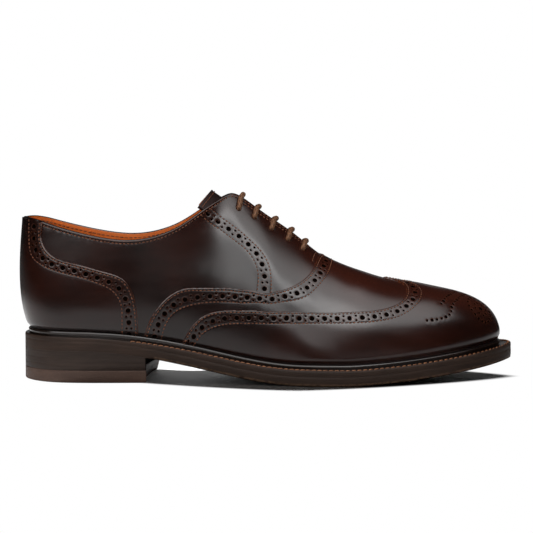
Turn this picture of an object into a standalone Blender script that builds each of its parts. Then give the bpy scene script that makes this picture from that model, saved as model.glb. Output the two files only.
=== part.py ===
"""Wingtip oxford shoe, right foot, with a welted sole and a stacked heel.

Toe towards +X, outer (lateral) side towards -Y, standing on the floor at Z = 0.
The upper is a hollow wall lofted through sections of the last. Each section is one cubic curve from
the feather edge, where the upper meets the sole, to the top line, the lace edge or the ridge of the vamp.
"""

import math

import bpy
import numpy as np

MM = 0.001

# Driving sizes
SOLE_LENGTH = 308 * MM
BALL_WIDTH = 106 * MM
INSTEP_HEIGHT = 115.4 * MM
HEEL_HEIGHT = 19.8 * MM
TOE_SPRING = 12 * MM

# Walls, layers and clearances
UPPER_WALL = 2.2 * MM
OUTSOLE_THICKNESS = 6 * MM
WELT_THICKNESS = 3 * MM
WELT_LIP_HEIGHT = 2.3 * MM
WELT_LIP_WIDTH = 1.9 * MM
WELT_GROOVE_DEPTH = 0.7 * MM
EDGE_BEVEL = 0.8 * MM
INSOLE_THICKNESS = 3 * MM
TOP_PIECE_THICKNESS = 6.8 * MM
TONGUE_THICKNESS = 2 * MM
LACE_DIAMETER = 3 * MM
EYELET_DIAMETER = 3.6 * MM
GAP = 0.3 * MM

# Shares of the sole length: where the tread is flat on the floor, and where the heel seat levels out
FLAT_START = 0.565
FLAT_END = 0.655
SEAT_LEVEL = 0.12
TOE_CURVE_POWER = 1.45

# Heel breast: its outer and inner corners from the back of the sole, and how far it is hollowed
BREAST_LATERAL = 77 * MM
BREAST_MEDIAL = 84 * MM
BREAST_HOLLOW = 4 * MM

# The last, one row for each section from the heel back to the toe tip.
# sole_at, top_at: places along the shoe, in hundredths of the sole length.
# lateral, medial: sole edge from the heel's centre line, in hundredths of the ball width.
# margin: how far the feather edge lies inside the sole edge, in millimetres.
# flare, rise: lean of the wall at the feather edge, millimetres outwards and hundredths of the height.
# swing, opening: middle of the top edges and half the space between them, in millimetres.
# top_height: in hundredths of the instep height.
# lean, shoulder, drop: tangent at the top, in millimetres outwards, hundredths of the reach outwards
# and hundredths of the height downwards.
SECTION_COLUMNS = (
    "sole_at", "lateral", "medial", "margin", "flare", "rise",
    "top_at", "swing", "opening", "top_height", "lean", "shoulder", "drop",
)
SECTIONS = (
    # heel back, curve, corner and side
    (0.0, 0.0, 0.0, 6.2, 11.0, 24, -0.2, 0.0, 0.0, 87.3, 2.5, 0, 40),
    (1.1, 14.2, 14.2, 6.0, 10.5, 24, 0.9, 0.0, 10.6, 87.2, 3.0, 0, 40),
    (4.2, 25.5, 25.5, 5.6, 9.5, 24, 3.6, 0.0, 19.0, 86.0, 4.0, 0, 40),
    (8.8, 31.8, 31.4, 5.2, 8.0, 25, 8.0, 0.0, 25.2, 82.6, 4.5, 0, 40),
    # seat, breast, waist and arch
    (16.2, 33.4, 32.6, 4.9, 6.0, 27, 15.5, 0.0, 29.6, 77.9, 3.5, 0, 40),
    (24.7, 32.6, 30.8, 4.8, 4.5, 29, 23.4, 0.0, 30.2, 76.4, 3.5, 0, 38),
    (32.5, 31.9, 27.9, 4.9, 4.0, 32, 30.8, 0.0, 26.3, 81.8, 5.0, 0, 33),
    (40.3, 35.1, 28.3, 5.2, 4.0, 36, 36.4, 0.0, 19.4, 91.2, 7.5, 0, 27),
    # lace edge, from its top corner to the throat
    (46.1, 40.2, 31.3, 5.4, 4.0, 40, 40.6, 0.0, 9.8, 98.1, 11.0, 0, 17),
    (50.6, 44.3, 35.1, 5.6, 4.0, 42, 43.7, 0.3, 3.6, 99.3, 14.0, 0, 10),
    (55.2, 47.9, 39.2, 5.8, 3.5, 43, 49.0, 0.8, 2.4, 89.6, 11.0, 8, 8),
    (59.7, 50.6, 43.4, 6.0, 3.0, 44, 55.2, 1.6, 2.2, 78.2, 8.0, 14, 8.5),
    (65.0, 51.4, 46.7, 6.2, 2.5, 46, 61.0, 2.6, 0.0, 66.2, 2.0, 42, 3),
    # vamp and toe
    (71.4, 49.5, 47.6, 6.4, 2.0, 48, 67.2, 4.0, 0.0, 58.5, 0.0, 60, 0),
    (79.2, 44.6, 45.6, 6.8, 1.8, 50, 73.7, 5.5, 0.0, 52.9, 0.0, 68, 0),
    (87.0, 36.4, 40.0, 7.2, 1.6, 53, 79.2, 6.5, 0.0, 50.1, 0.0, 76, 0),
    (93.5, 24.8, 32.0, 7.6, 1.5, 55, 82.8, 7.0, 0.0, 48.2, 0.0, 80, 0),
    (98.0, 10.4, 22.6, 7.9, 1.5, 56, 84.6, 7.0, 0.0, 47.2, 0.0, 80, 0),
    (100.0, -6.6, 6.6, 8.2, 1.5, 56, 85.2, 7.0, 0.0, 46.9, 0.0, 80, 0),
)
LAST_ROW = len(SECTIONS) - 1
LACE_EDGE_ROW = 9
THROAT_ROW = 12

# Laces: five bars between the rows of eyelets, each leading a little towards the toe at its middle
EYELET_ROWS = (9.06, 9.68, 10.25, 10.78, 11.28)
EYELET_INSET = 10 * MM
LACE_BAR_LEAD = 0.1

# Tongue: its rows from the throat to the top corner, its half widths there, and its free end
TONGUE_ROWS = (12.3, 9.2)
TONGUE_HALF_WIDTH_THROAT = 12 * MM
TONGUE_HALF_WIDTH_TOP = 25 * MM
TONGUE_DRAW_IN = 4.5 * MM
TONGUE_SLOPE = math.radians(32)
TONGUE_STICKS_OUT = 19.5 * MM
TONGUE_END_SWEEP = 15 * MM
TONGUE_TAPER = 0.15

# Fineness of the faceted solids
STEPS_PER_ROW = 2
WALL_STEPS = 12
LATERAL, MEDIAL = -1, 1


# Curves through the section table

def closed_spline(values):
    """Smooth curve through values that go once round a closed loop, one unit apart."""
    values = np.asarray(values, float)
    count = len(values)
    matrix = 4 * np.eye(count) + np.roll(np.eye(count), 1, 0) + np.roll(np.eye(count), -1, 0)
    second = np.linalg.solve(matrix, 6 * (np.roll(values, 1) - 2 * values + np.roll(values, -1)))

    def at(place):
        place = np.mod(place, count)
        low = np.floor(place).astype(int) % count
        high = (low + 1) % count
        part = place - np.floor(place)
        rest = 1 - part
        bend = (rest ** 3 - rest) * second[low] + (part ** 3 - part) * second[high]
        return rest * values[low] + part * values[high] + bend / 6

    return at


def column(name):
    return np.array([row[SECTION_COLUMNS.index(name)] for row in SECTIONS])


def round_the_shoe(lateral, medial):
    """Values from the heel along the lateral side to the toe and back along the medial side."""
    return closed_spline(np.concatenate([lateral, medial[-2:0:-1]]))


SHAPE = {name: round_the_shoe(column(name), column(name)) for name in SECTION_COLUMNS}
SOLE_Y = round_the_shoe(-column("lateral"), column("medial"))


def along(side, row):
    """Place on the closed loop of a section row on one side of the shoe."""
    return -side * np.asarray(row, float)


def sole_edge(side, row):
    place = along(side, row)
    return SHAPE["sole_at"](place) * SOLE_LENGTH / 100, SOLE_Y(place) * BALL_WIDTH / 100


def outwards(side, row):
    """Unit vector across the sole edge, pointing away from the shoe."""
    step = 0.01
    x_before, y_before = sole_edge(side, np.asarray(row) - step)
    x_after, y_after = sole_edge(side, np.asarray(row) + step)
    x_along, y_along = x_after - x_before, y_after - y_before
    length = np.hypot(x_along, y_along)
    return -side * y_along / length, side * x_along / length


def sole_lift(x):
    """Height of the tread above the floor: heel, flat forefoot and toe spring."""
    share = np.asarray(x) / SOLE_LENGTH
    arch = np.clip((FLAT_START - share) / (FLAT_START - SEAT_LEVEL), 0, 1)
    toe = np.clip((share - FLAT_END) / (1 - FLAT_END), 0, None)
    return HEEL_HEIGHT * arch ** 2 * (3 - 2 * arch) + TOE_SPRING * toe ** TOE_CURVE_POWER


def top_edge(side, row):
    """Point where a section ends: on the top line, the lace edge or the ridge of the vamp."""
    row = np.asarray(row, float)
    place = along(side, row)
    opening = np.where(row >= THROAT_ROW, 0, np.maximum(SHAPE["opening"](place), 0))
    x = SHAPE["top_at"](place) * SOLE_LENGTH / 100
    y = (SHAPE["swing"](place) + side * opening) * MM
    z = SHAPE["top_height"](place) * INSTEP_HEIGHT / 100
    return np.stack([x, y, z], -1)


def ridge_slope(row):
    """Fall of the lace edge and the vamp's ridge towards the toe; none along the collar."""
    behind = np.asarray(row, float) - 0.25
    step = top_edge(LATERAL, row) - top_edge(LATERAL, behind)
    slope = step[..., 2] / np.maximum(step[..., 0], 0.1 * MM)
    return np.where(behind > LACE_EDGE_ROW, np.clip(slope, -1, 0), 0)


def section(side, row):
    """The four control points of a section's curve."""
    row = np.asarray(row, float)
    place = along(side, row)
    shape = {name: curve(place) for name, curve in SHAPE.items()}
    edge_x, edge_y = sole_edge(side, row)
    out_x, out_y = outwards(side, row)
    foot_x = edge_x - shape["margin"] * MM * out_x
    foot_y = edge_y - shape["margin"] * MM * out_y
    foot = np.stack([foot_x, foot_y, sole_lift(foot_x) + OUTSOLE_THICKNESS + GAP], -1)
    top = top_edge(side, row)
    height = top[..., 2] - foot[..., 2]
    reach = np.hypot(top[..., 0] - foot[..., 0], top[..., 1] - foot[..., 1])
    flare = shape["flare"] * MM
    rise = shape["rise"] / 100 * height
    low = foot + np.stack([flare * out_x, flare * out_y, rise], -1)
    shoulder = shape["lean"] * MM + shape["shoulder"] / 100 * reach
    fall = shape["drop"] / 100 * height - ridge_slope(row) * out_x * shoulder
    high = top + np.stack([shoulder * out_x, shoulder * out_y, -fall], -1)
    return foot, low, high, top


def upper_point(side, row, up):
    """Point on the outside of the upper; up runs from 0 at the feather edge to 1 at the top."""
    foot, low, high, top = section(side, row)
    up = np.asarray(up, float)[..., None]
    down = 1 - up
    return down ** 3 * foot + 3 * down ** 2 * up * low + 3 * down * up ** 2 * high + up ** 3 * top


def upper_normal(side, row, up):
    """Unit vector pointing out of the upper's wall."""
    step = 0.02
    up = np.clip(up, step, 1 - step)
    row_step = upper_point(side, row + step, up) - upper_point(side, row - step, up)
    up_step = upper_point(side, row, up + step) - upper_point(side, row, up - step)
    normal = -side * np.cross(row_step, up_step)
    return normal / np.linalg.norm(normal, axis=-1, keepdims=True)


def upper_layer(side, row, up, depth):
    """Point a given depth inside the upper's outer face; both sides agree along the vamp's ridge."""
    row = np.asarray(row, float)
    normal = upper_normal(side, row, up)
    other = upper_normal(-side, row, up)
    on_ridge = ((np.asarray(up) > 0.999) & (row >= THROAT_ROW)) | (row <= 0) | (row >= LAST_ROW)
    shared = normal + other
    shared = shared / np.linalg.norm(shared, axis=-1, keepdims=True)
    normal = np.where(np.asarray(on_ridge)[..., None], shared, normal)
    return upper_point(side, row, up) - depth * normal


# Making objects

def material(name, colour, roughness, metallic=0.0):
    made = bpy.data.materials.new(name)
    made.use_nodes = True
    shader = made.node_tree.nodes["Principled BSDF"]
    shader.inputs["Base Color"].default_value = (*colour, 1)
    shader.inputs["Roughness"].default_value = roughness
    shader.inputs["Metallic"].default_value = metallic
    return made


def add_mesh(name, points, faces, finish):
    mesh = bpy.data.meshes.new(name)
    mesh.from_pydata([tuple(map(float, point)) for point in points], [], faces)
    mesh.update()
    made = bpy.data.objects.new(name, mesh)
    bpy.context.scene.collection.objects.link(made)
    made.parent = bpy.data.objects["shoe"]
    mesh.materials.append(finish)
    mesh.shade_smooth()
    mesh.set_sharp_from_angle(angle=math.radians(40))
    return made


def cut(target, cutter, operation="DIFFERENCE"):
    cutter.hide_render = True
    cutter.display_type = "WIRE"
    step = target.modifiers.new(cutter.name, "BOOLEAN")
    step.operation = operation
    step.object = cutter


def ring_faces(rings, points_each):
    """Quads between closed rings that go round the shoe, the last joined to the first."""
    faces = []
    for ring in range(rings):
        following = (ring + 1) % rings
        for point in range(points_each):
            turn = (point + 1) % points_each
            faces.append((
                ring * points_each + point, following * points_each + point,
                following * points_each + turn, ring * points_each + turn,
            ))
    return faces


def rows_round_the_shoe(steps_per_row):
    """(side, row) pairs once round: heel back, lateral side, toe tip, medial side."""
    rows = np.arange(0, LAST_ROW * steps_per_row + 1) / steps_per_row
    return [(LATERAL, row) for row in rows] + [(MEDIAL, row) for row in rows[-2:0:-1]]


# Upper

def build_upper(finish):
    """Outer and inner faces of the wall, joined along the feather edge, the top line and the lace edges."""
    rows = np.arange(0, LAST_ROW * STEPS_PER_ROW + 1) / STEPS_PER_ROW
    ups = np.linspace(0, 1, WALL_STEPS + 1)
    points, index = [], {}

    def corner(depth, side, row_step, up_step):
        row = rows[row_step]
        shared = row_step in (0, len(rows) - 1) or (up_step == WALL_STEPS and row >= THROAT_ROW)
        key = (depth, LATERAL if shared else side, row_step, up_step)
        if key not in index:
            index[key] = len(points)
            points.append(upper_layer(key[1], row, ups[up_step], depth))
        return index[key]

    faces = []
    for side in (LATERAL, MEDIAL):
        for depth in (0, UPPER_WALL):
            turned = (side == LATERAL) == (depth == 0)
            for row_step in range(len(rows) - 1):
                for up_step in range(WALL_STEPS):
                    quad = [
                        corner(depth, side, row_step, up_step),
                        corner(depth, side, row_step + 1, up_step),
                        corner(depth, side, row_step + 1, up_step + 1),
                        corner(depth, side, row_step, up_step + 1),
                    ]
                    faces.append(quad if turned else quad[::-1])
        for up_step in (0, WALL_STEPS):
            turned = (side == LATERAL) == (up_step == 0)
            for row_step in range(len(rows) - 1):
                if up_step and rows[row_step] >= THROAT_ROW:
                    continue
                quad = [
                    corner(UPPER_WALL, side, row_step, up_step),
                    corner(UPPER_WALL, side, row_step + 1, up_step),
                    corner(0, side, row_step + 1, up_step),
                    corner(0, side, row_step, up_step),
                ]
                faces.append(quad if turned else quad[::-1])
    return add_mesh("upper", points, faces, finish)


def eyelet_up(side, row):
    """How far up its section an eyelet lies, a fixed distance from the lace edge."""
    ups = np.linspace(0.5, 1, 101)
    line = upper_point(side, np.full_like(ups, row), ups)
    from_edge = np.cumsum(np.linalg.norm(np.diff(line[::-1], axis=0), axis=1))
    return ups[::-1][1 + np.searchsorted(from_edge, EYELET_INSET)]


def punch_eyelets(upper):
    sides = 10
    turns = np.arange(sides) * 2 * math.pi / sides
    for number, row in enumerate(EYELET_ROWS, 1):
        for side, word in ((LATERAL, "lateral"), (MEDIAL, "medial")):
            up = eyelet_up(side, row)
            centre = upper_point(side, row, up)
            axis = upper_normal(side, row, up)
            across = np.cross(axis, (0, 1, 0))
            across = across / np.linalg.norm(across)
            beside = np.cross(axis, across)
            circle = np.outer(np.cos(turns), across) + np.outer(np.sin(turns), beside)
            circle = circle * EYELET_DIAMETER / 2
            outer = centre + circle + axis * 2 * UPPER_WALL
            inner = centre + circle - axis * 3 * UPPER_WALL
            faces = [
                (turn, (turn + 1) % sides, sides + (turn + 1) % sides, sides + turn)
                for turn in range(sides)
            ]
            faces += [tuple(range(sides))[::-1], tuple(range(sides, 2 * sides))]
            punch = add_mesh(
                f"eyelet_punch_{number}_{word}", np.concatenate([inner, outer]), faces,
                upper.data.materials[0],
            )
            cut(upper, punch)


# Sole

def slab(name, edges, bottom, top, finish, steps_per_row=STEPS_PER_ROW):
    """Solid between two sides given by edges(side, row), with heights bottom(x) and top(x).
    A small bevel runs round the underside."""
    points = []
    turns = rows_round_the_shoe(steps_per_row)
    for side, row in turns:
        x, y = edges(side, row)
        out_x, out_y = outwards(side, row)
        points.append((x, y, top(x)))
        points.append((x, y, bottom(x) + EDGE_BEVEL))
        points.append((x - EDGE_BEVEL * out_x, y - EDGE_BEVEL * out_y, bottom(x - EDGE_BEVEL * out_x)))
    count = len(turns)
    faces = []
    for turn in range(count):
        after = (turn + 1) % count
        for level in (0, 1):
            faces.append((3 * turn + level, 3 * turn + level + 1, 3 * after + level + 1, 3 * after + level))
    half = count // 2
    for turn in range(half):
        far, far_after = (count - turn) % count, count - turn - 1
        for level, flip in ((0, False), (2, True)):
            strip = [turn, turn + 1, far_after, far]
            strip = [3 * place + level for place in dict.fromkeys(strip)]
            faces.append(tuple(strip[::-1] if flip else strip))
    return add_mesh(name, points, faces, finish)


def build_outsole(finish):
    return slab(
        "outsole", lambda side, row: tuple(map(float, sole_edge(side, row))),
        sole_lift, lambda x: sole_lift(x) + OUTSOLE_THICKNESS, finish,
    )


def build_insole(finish):
    inset = UPPER_WALL + 2 * GAP

    def edges(side, row):
        foot = section(side, row)[0]
        out_x, out_y = outwards(side, row)
        return float(foot[0] - inset * out_x), float(foot[1] - inset * out_y)

    seat = OUTSOLE_THICKNESS + GAP
    return slab(
        "insole", edges, lambda x: sole_lift(x) + seat,
        lambda x: sole_lift(x) + seat + INSOLE_THICKNESS, finish,
    )


def upper_offset_at(side, row, height):
    """How far the upper's outer face stands outside the feather edge, a height above the outsole."""
    ups = np.linspace(0, 0.4, 81)
    line = upper_point(side, np.full_like(ups, row), ups)
    rise = line[:, 2] - line[0, 2]
    out_x, out_y = outwards(side, row)
    offset = (line[:, 0] - line[0, 0]) * out_x + (line[:, 1] - line[0, 1]) * out_y
    return float(np.interp(height, rise, offset))


def build_welt(finish):
    """Strip round the whole sole, with a lip that stands up against the upper."""
    ledge = WELT_THICKNESS
    lip_top = WELT_THICKNESS + WELT_LIP_HEIGHT
    points = []
    turns = rows_round_the_shoe(2 * STEPS_PER_ROW)
    for side, row in turns:
        foot = section(side, row)[0]
        edge_x, edge_y = sole_edge(side, row)
        out_x, out_y = outwards(side, row)
        width = float(np.hypot(edge_x - foot[0], edge_y - foot[1]))
        clear = [upper_offset_at(side, row, height) + GAP for height in (0, lip_top / 2, lip_top)]
        lip_outer = min(clear[2] + WELT_LIP_WIDTH, width - 2 * EDGE_BEVEL)
        ledge_room = width - EDGE_BEVEL - lip_outer
        profile = (
            (clear[0], 0), (width, 0), (width, ledge - EDGE_BEVEL), (width - EDGE_BEVEL, ledge),
            (lip_outer + 0.4 * ledge_room, ledge), (lip_outer, ledge - WELT_GROOVE_DEPTH),
            (lip_outer, lip_top - EDGE_BEVEL), (lip_outer - EDGE_BEVEL, lip_top),
            (clear[2], lip_top), (clear[1], lip_top / 2),
        )
        for out, up in profile:
            x, y = foot[0] + out * out_x, foot[1] + out * out_y
            points.append((x, y, foot[2] + up + sole_lift(x) - sole_lift(foot[0])))
    faces = ring_faces(len(turns), len(points) // len(turns))
    return add_mesh("welt", points, faces, finish)


# Heel

def heel_outline():
    """Corners of the heel seen from above: round the back, then the hollowed breast."""
    fine = np.arange(0, 8, 0.25)
    outline = []
    for side, breast in ((MEDIAL, BREAST_MEDIAL), (LATERAL, BREAST_LATERAL)):
        x, y = sole_edge(side, fine)
        behind = x < breast - 1 * MM
        corner_y = float(np.interp(breast, x, y))
        curve = list(zip(x[behind], y[behind])) + [(breast, corner_y)]
        outline.append(curve)
    medial, lateral = outline
    start, end = np.array(lateral[-1]), np.array(medial[-1])
    hollow = []
    for share in np.linspace(0, 1, 9)[1:-1]:
        middle = start + share * (end - start)
        hollow.append((middle[0] - BREAST_HOLLOW * math.sin(math.pi * share), middle[1]))
    return medial[::-1] + lateral[1:] + hollow


def prism(name, outline, bottom, top, finish):
    count = len(outline)
    points = [(x, y, bottom) for x, y in outline] + [(x, y, top) for x, y in outline]
    faces = [(turn, (turn + 1) % count, count + (turn + 1) % count, count + turn) for turn in range(count)]
    faces += [tuple(range(count))[::-1], tuple(range(count, 2 * count))]
    return add_mesh(name, points, faces, finish)


def sole_room(finish):
    """The space that the outsole and its clearance take up, to trim the heel stack to the sole."""
    stations = np.linspace(-0.05, 0.4, 31) * SOLE_LENGTH
    points = []
    for x in stations:
        low = sole_lift(x) - GAP
        points += [(x, y, z) for y, z in (
            (-BALL_WIDTH, low), (BALL_WIDTH, low), (BALL_WIDTH, INSTEP_HEIGHT), (-BALL_WIDTH, INSTEP_HEIGHT))]
    faces = []
    for station in range(len(stations) - 1):
        for turn in range(4):
            after = (turn + 1) % 4
            faces.append((4 * station + turn, 4 * station + 4 + turn, 4 * station + 4 + after, 4 * station + after))
    last = 4 * (len(stations) - 1)
    faces += [(0, 1, 2, 3), (last + 3, last + 2, last + 1, last)]
    return add_mesh("sole_room", points, [face[::-1] for face in faces], finish)


def build_heel(stack_finish, rubber_finish):
    outline = heel_outline()
    stack = prism("heel_stack", outline, TOP_PIECE_THICKNESS + GAP, 2 * HEEL_HEIGHT, stack_finish)
    cut(stack, sole_room(stack_finish))
    prism("heel_top_piece", outline, 0, TOP_PIECE_THICKNESS, rubber_finish)


# Tongue and laces

def build_tongue(finish):
    """Curved sheet under the lace edges, standing out past their top corners."""
    stations, across = 14, 8
    rows = np.linspace(*TONGUE_ROWS, stations)
    shares = np.linspace(0, 1, across + 1)
    sheets = []
    for number, row in enumerate(rows):
        share = number / (stations - 1)
        half = TONGUE_HALF_WIDTH_THROAT + share * (TONGUE_HALF_WIDTH_TOP - TONGUE_HALF_WIDTH_THROAT)
        depth = UPPER_WALL + 2 * GAP + TONGUE_DRAW_IN * share ** 2
        line = []
        for side in (LATERAL, MEDIAL):
            ups = np.linspace(0.4, 1, 121)
            points = upper_layer(side, np.full_like(ups, row), ups, depth)[::-1]
            length = np.concatenate([[0], np.cumsum(np.linalg.norm(np.diff(points, axis=0), axis=1))])
            sampled = np.stack([np.interp(shares * half, length, points[:, k]) for k in range(3)], -1)
            line.append(sampled)
        middle = (line[0][0] + line[1][0]) / 2
        sheets.append(np.concatenate([line[0][:0:-1], [middle], line[1][1:]]))
    push = (-math.cos(TONGUE_SLOPE), 0, math.sin(TONGUE_SLOPE))
    from_middle = np.abs(np.linspace(-1, 1, 2 * across + 1))
    reach = TONGUE_STICKS_OUT + TONGUE_END_SWEEP * from_middle ** 1.5
    for share in (0.25, 0.5, 0.75, 1):
        free = sheets[stations - 1] + np.outer(reach * share, push)
        free[:, 1] *= 1 - TONGUE_TAPER * math.sin(share * math.pi / 2)
        sheets.append(free)
    sheets = np.array(sheets)
    row_step = np.gradient(sheets, axis=0)
    side_step = np.gradient(sheets, axis=1)
    inward = np.cross(row_step, side_step)
    inward = inward / np.linalg.norm(inward, axis=-1, keepdims=True)
    inward = inward * np.where(inward[..., 2:] > 0, -1, 1)
    layers = np.stack([sheets, sheets + TONGUE_THICKNESS * inward])
    lines, each = sheets.shape[:2]
    points = layers.reshape(-1, 3)
    faces = []

    def at(layer, line, place):
        return layer * lines * each + line * each + place

    for line in range(lines - 1):
        for place in range(each - 1):
            quad = [at(0, line, place), at(0, line, place + 1), at(0, line + 1, place + 1), at(0, line + 1, place)]
            faces.append(tuple(quad))
            faces.append(tuple(corner + lines * each for corner in quad[::-1]))
    rim = [(0, place) for place in range(each)]
    rim += [(line, each - 1) for line in range(1, lines)]
    rim += [(lines - 1, place) for place in range(each - 2, -1, -1)]
    rim += [(line, 0) for line in range(lines - 2, 0, -1)]
    for here, after in zip(rim, rim[1:] + rim[:1]):
        faces.append((at(0, *after), at(0, *here), at(1, *here), at(1, *after)))
    return add_mesh("tongue", points, faces, finish)


def lace_route(row):
    """Middle of a lace bar, from the lateral eyelet over the lace edges to the medial eyelet."""
    shares = np.linspace(0, 1, 7)
    clear = LACE_DIAMETER / 2 + GAP * (1.5 + shares)
    sides = []
    for side in (LATERAL, MEDIAL):
        lowest = eyelet_up(side, row)
        ups = lowest + (1 - lowest) * shares
        rows = row + LACE_BAR_LEAD * shares
        sides.append(upper_layer(side, rows, ups, -clear[:, None]))
    return np.concatenate([sides[0], sides[1][::-1]])


def build_laces(finish):
    for number, row in enumerate(EYELET_ROWS, 1):
        curve = bpy.data.curves.new(f"lace_bar_{number}", "CURVE")
        curve.dimensions = "3D"
        curve.bevel_depth = LACE_DIAMETER / 2
        curve.bevel_resolution = 2
        curve.use_fill_caps = True
        route = lace_route(row)
        spline = curve.splines.new("NURBS")
        spline.points.add(len(route) - 1)
        spline.order_u = 3
        spline.use_endpoint_u = True
        spline.resolution_u = 2
        for point, place in zip(spline.points, route):
            point.co = (*place, 1)
        bar = bpy.data.objects.new(f"lace_bar_{number}", curve)
        bpy.context.scene.collection.objects.link(bar)
        bar.parent = bpy.data.objects["shoe"]
        curve.materials.append(finish)


def main():
    for existing in list(bpy.data.objects):
        bpy.data.objects.remove(existing)
    shoe = bpy.data.objects.new("shoe", None)
    bpy.context.scene.collection.objects.link(shoe)
    leather = material("brown leather", (0.045, 0.018, 0.013), 0.35)
    lining = material("tan lining leather", (0.42, 0.16, 0.05), 0.6)
    edge = material("stained sole edge", (0.03, 0.017, 0.012), 0.4)
    tread = material("brown sole rubber", (0.06, 0.034, 0.024), 0.7)
    cord = material("waxed lace", (0.10, 0.06, 0.038), 0.7)
    upper = build_upper(leather)
    punch_eyelets(upper)
    build_tongue(leather)
    build_insole(lining)
    build_welt(edge)
    build_outsole(edge)
    build_heel(edge, tread)
    build_laces(cord)
    bpy.context.view_layer.update()
    solids = [made for made in shoe.children if not made.hide_render]
    corners = np.array([corner[:] for made in solids for corner in made.bound_box])
    middle = (corners.min(0) + corners.max(0)) / 2
    shoe.location = (-middle[0], -middle[1], 0)
    print("moved by", [round(1000 * float(shift), 4) for shift in shoe.location])


main()
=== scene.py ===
# %% [markdown]
# # A wingtip oxford shoe
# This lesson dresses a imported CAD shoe: a right shoe in dark brown polished leather, toe towards +X and
# outer side towards -Y. The CAD model is the fixed frame, so every new piece is made where the CAD piece is.
# Sizes are in metres, and MM turns millimetres into metres.

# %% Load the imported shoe
import math

import bpy
import numpy as np
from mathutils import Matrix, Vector
from mathutils.geometry import delaunay_2d_cdt
from mathutils.kdtree import KDTree


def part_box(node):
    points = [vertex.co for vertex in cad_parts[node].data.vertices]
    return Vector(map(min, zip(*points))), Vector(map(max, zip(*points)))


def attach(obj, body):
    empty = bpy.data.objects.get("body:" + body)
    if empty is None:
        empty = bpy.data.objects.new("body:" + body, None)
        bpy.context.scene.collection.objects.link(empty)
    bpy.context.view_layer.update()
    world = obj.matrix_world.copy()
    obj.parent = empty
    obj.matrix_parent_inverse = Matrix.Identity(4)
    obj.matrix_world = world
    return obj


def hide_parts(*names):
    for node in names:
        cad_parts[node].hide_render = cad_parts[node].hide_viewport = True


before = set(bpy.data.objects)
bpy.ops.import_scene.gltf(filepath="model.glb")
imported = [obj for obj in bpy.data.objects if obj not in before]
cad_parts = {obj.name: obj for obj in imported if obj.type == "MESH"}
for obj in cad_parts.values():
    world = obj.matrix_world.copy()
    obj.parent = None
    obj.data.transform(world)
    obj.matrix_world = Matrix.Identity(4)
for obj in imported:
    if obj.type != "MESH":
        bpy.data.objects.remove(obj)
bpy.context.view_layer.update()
bpy.ops.object.select_all(action="DESELECT")
MM = 0.001

# %% [markdown]
# ## The camera and the light
# A shoe for a catalogue stands on a white sweep under large soft boxes. Polished leather shows mostly what
# it mirrors: the white floor in the parts that turn down, a soft box in the parts that turn up, and the
# dark room in between. So the lights are few and large, and the world is dark for everything but the camera.
# A photographer keeps light off the paper with black flags; light linking does that here, so that one
# small light from behind the heel gives the floor its clear shadow. Two low ones behind the shoe shine
# through under the arch and the toe. A few short helpers build the node trees of lights and materials.

# %% Camera
SIGHT = np.array([-0.17, 2.0, 69.5]) * MM
SIGHT_DISTANCE = 1.5
SIGHT_ELEVATION = math.radians(5)
FRAME_WIDTH = 336.9 * MM

scene = bpy.context.scene
bpy.ops.object.camera_add()
camera = bpy.context.object
camera.name = "camera"
back = np.array([0, -math.cos(SIGHT_ELEVATION), math.sin(SIGHT_ELEVATION)])
camera.location = SIGHT + SIGHT_DISTANCE * back
camera.rotation_euler = (math.pi / 2 - SIGHT_ELEVATION, 0, 0)
camera.data.sensor_width = 36
camera.data.lens = camera.data.sensor_width * SIGHT_DISTANCE / FRAME_WIDTH
camera.data.clip_end = 100
scene.camera = camera
print("camera at", np.round(camera.location, 3), "lens", round(camera.data.lens, 1), "mm")

# %% Node helpers
def add_node(tree, kind, settings=None, **values):
    """A node with its settings and its inputs, by name or as i0, i1 ...; an output given is linked."""
    node = tree.nodes.new(kind)
    for name, value in (settings or {}).items():
        setattr(node, name, value)
    for name, value in values.items():
        numbered = name[0] == "i" and name[1:].isdigit()
        socket = node.inputs[int(name[1:]) if numbered else name.replace("_", " ")]
        if isinstance(value, bpy.types.NodeSocket):
            tree.links.new(value, socket)
        else:
            socket.default_value = value
    return node


def maths(tree, operation, first, second=0.0, clamp=False):
    node = add_node(tree, "ShaderNodeMath", {"operation": operation, "use_clamp": clamp}, i0=first, i1=second)
    return node.outputs[0]


def blend_colours(tree, share, first, second):
    """Mix of two colours, each given as red, green and blue or as a node's output."""
    first, second = (one if isinstance(one, bpy.types.NodeSocket) else (*one, 1) for one in (first, second))
    return add_node(tree, "ShaderNodeMixRGB", i0=share, i1=first, i2=second).outputs[0]


def ramp(tree, value, low, high, start=0.0, end=1.0, kind="SMOOTHSTEP"):
    """Value that goes from start to end while the given one goes from low to high."""
    node = add_node(
        tree, "ShaderNodeMapRange", {"interpolation_type": kind}, i0=value, i1=low, i2=high, i3=start, i4=end)
    return node.outputs[0]


def object_place(tree):
    return add_node(tree, "ShaderNodeTexCoord").outputs["Object"]


def new_material(name, roughness=0.5, **settings):
    made = bpy.data.materials.new(name)
    made.use_nodes = True
    shader = made.node_tree.nodes["Principled BSDF"]
    shader.inputs["Roughness"].default_value = roughness
    for label, value in settings.items():
        shader.inputs[label.replace("_", " ")].default_value = value
    return made, made.node_tree, shader


# %% Soft boxes and world
def soft_box(name, place, target, size, power):
    bpy.ops.object.light_add(type="AREA", location=place)
    light = bpy.context.object
    light.name = name
    aim = Vector(target) - Vector(place)
    light.rotation_euler = aim.to_track_quat("-Z", "Y").to_euler()
    light.data.shape = "RECTANGLE"
    light.data.size, light.data.size_y = size
    light.data.energy = power
    return light


def direction(azimuth, elevation):
    """Unit vector; azimuth 0 points at the camera's side, and positive turns towards the toe."""
    azimuth, elevation = math.radians(azimuth), math.radians(elevation)
    level = math.cos(elevation)
    return np.array([level * math.sin(azimuth), -level * math.cos(azimuth), math.sin(elevation)])


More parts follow.
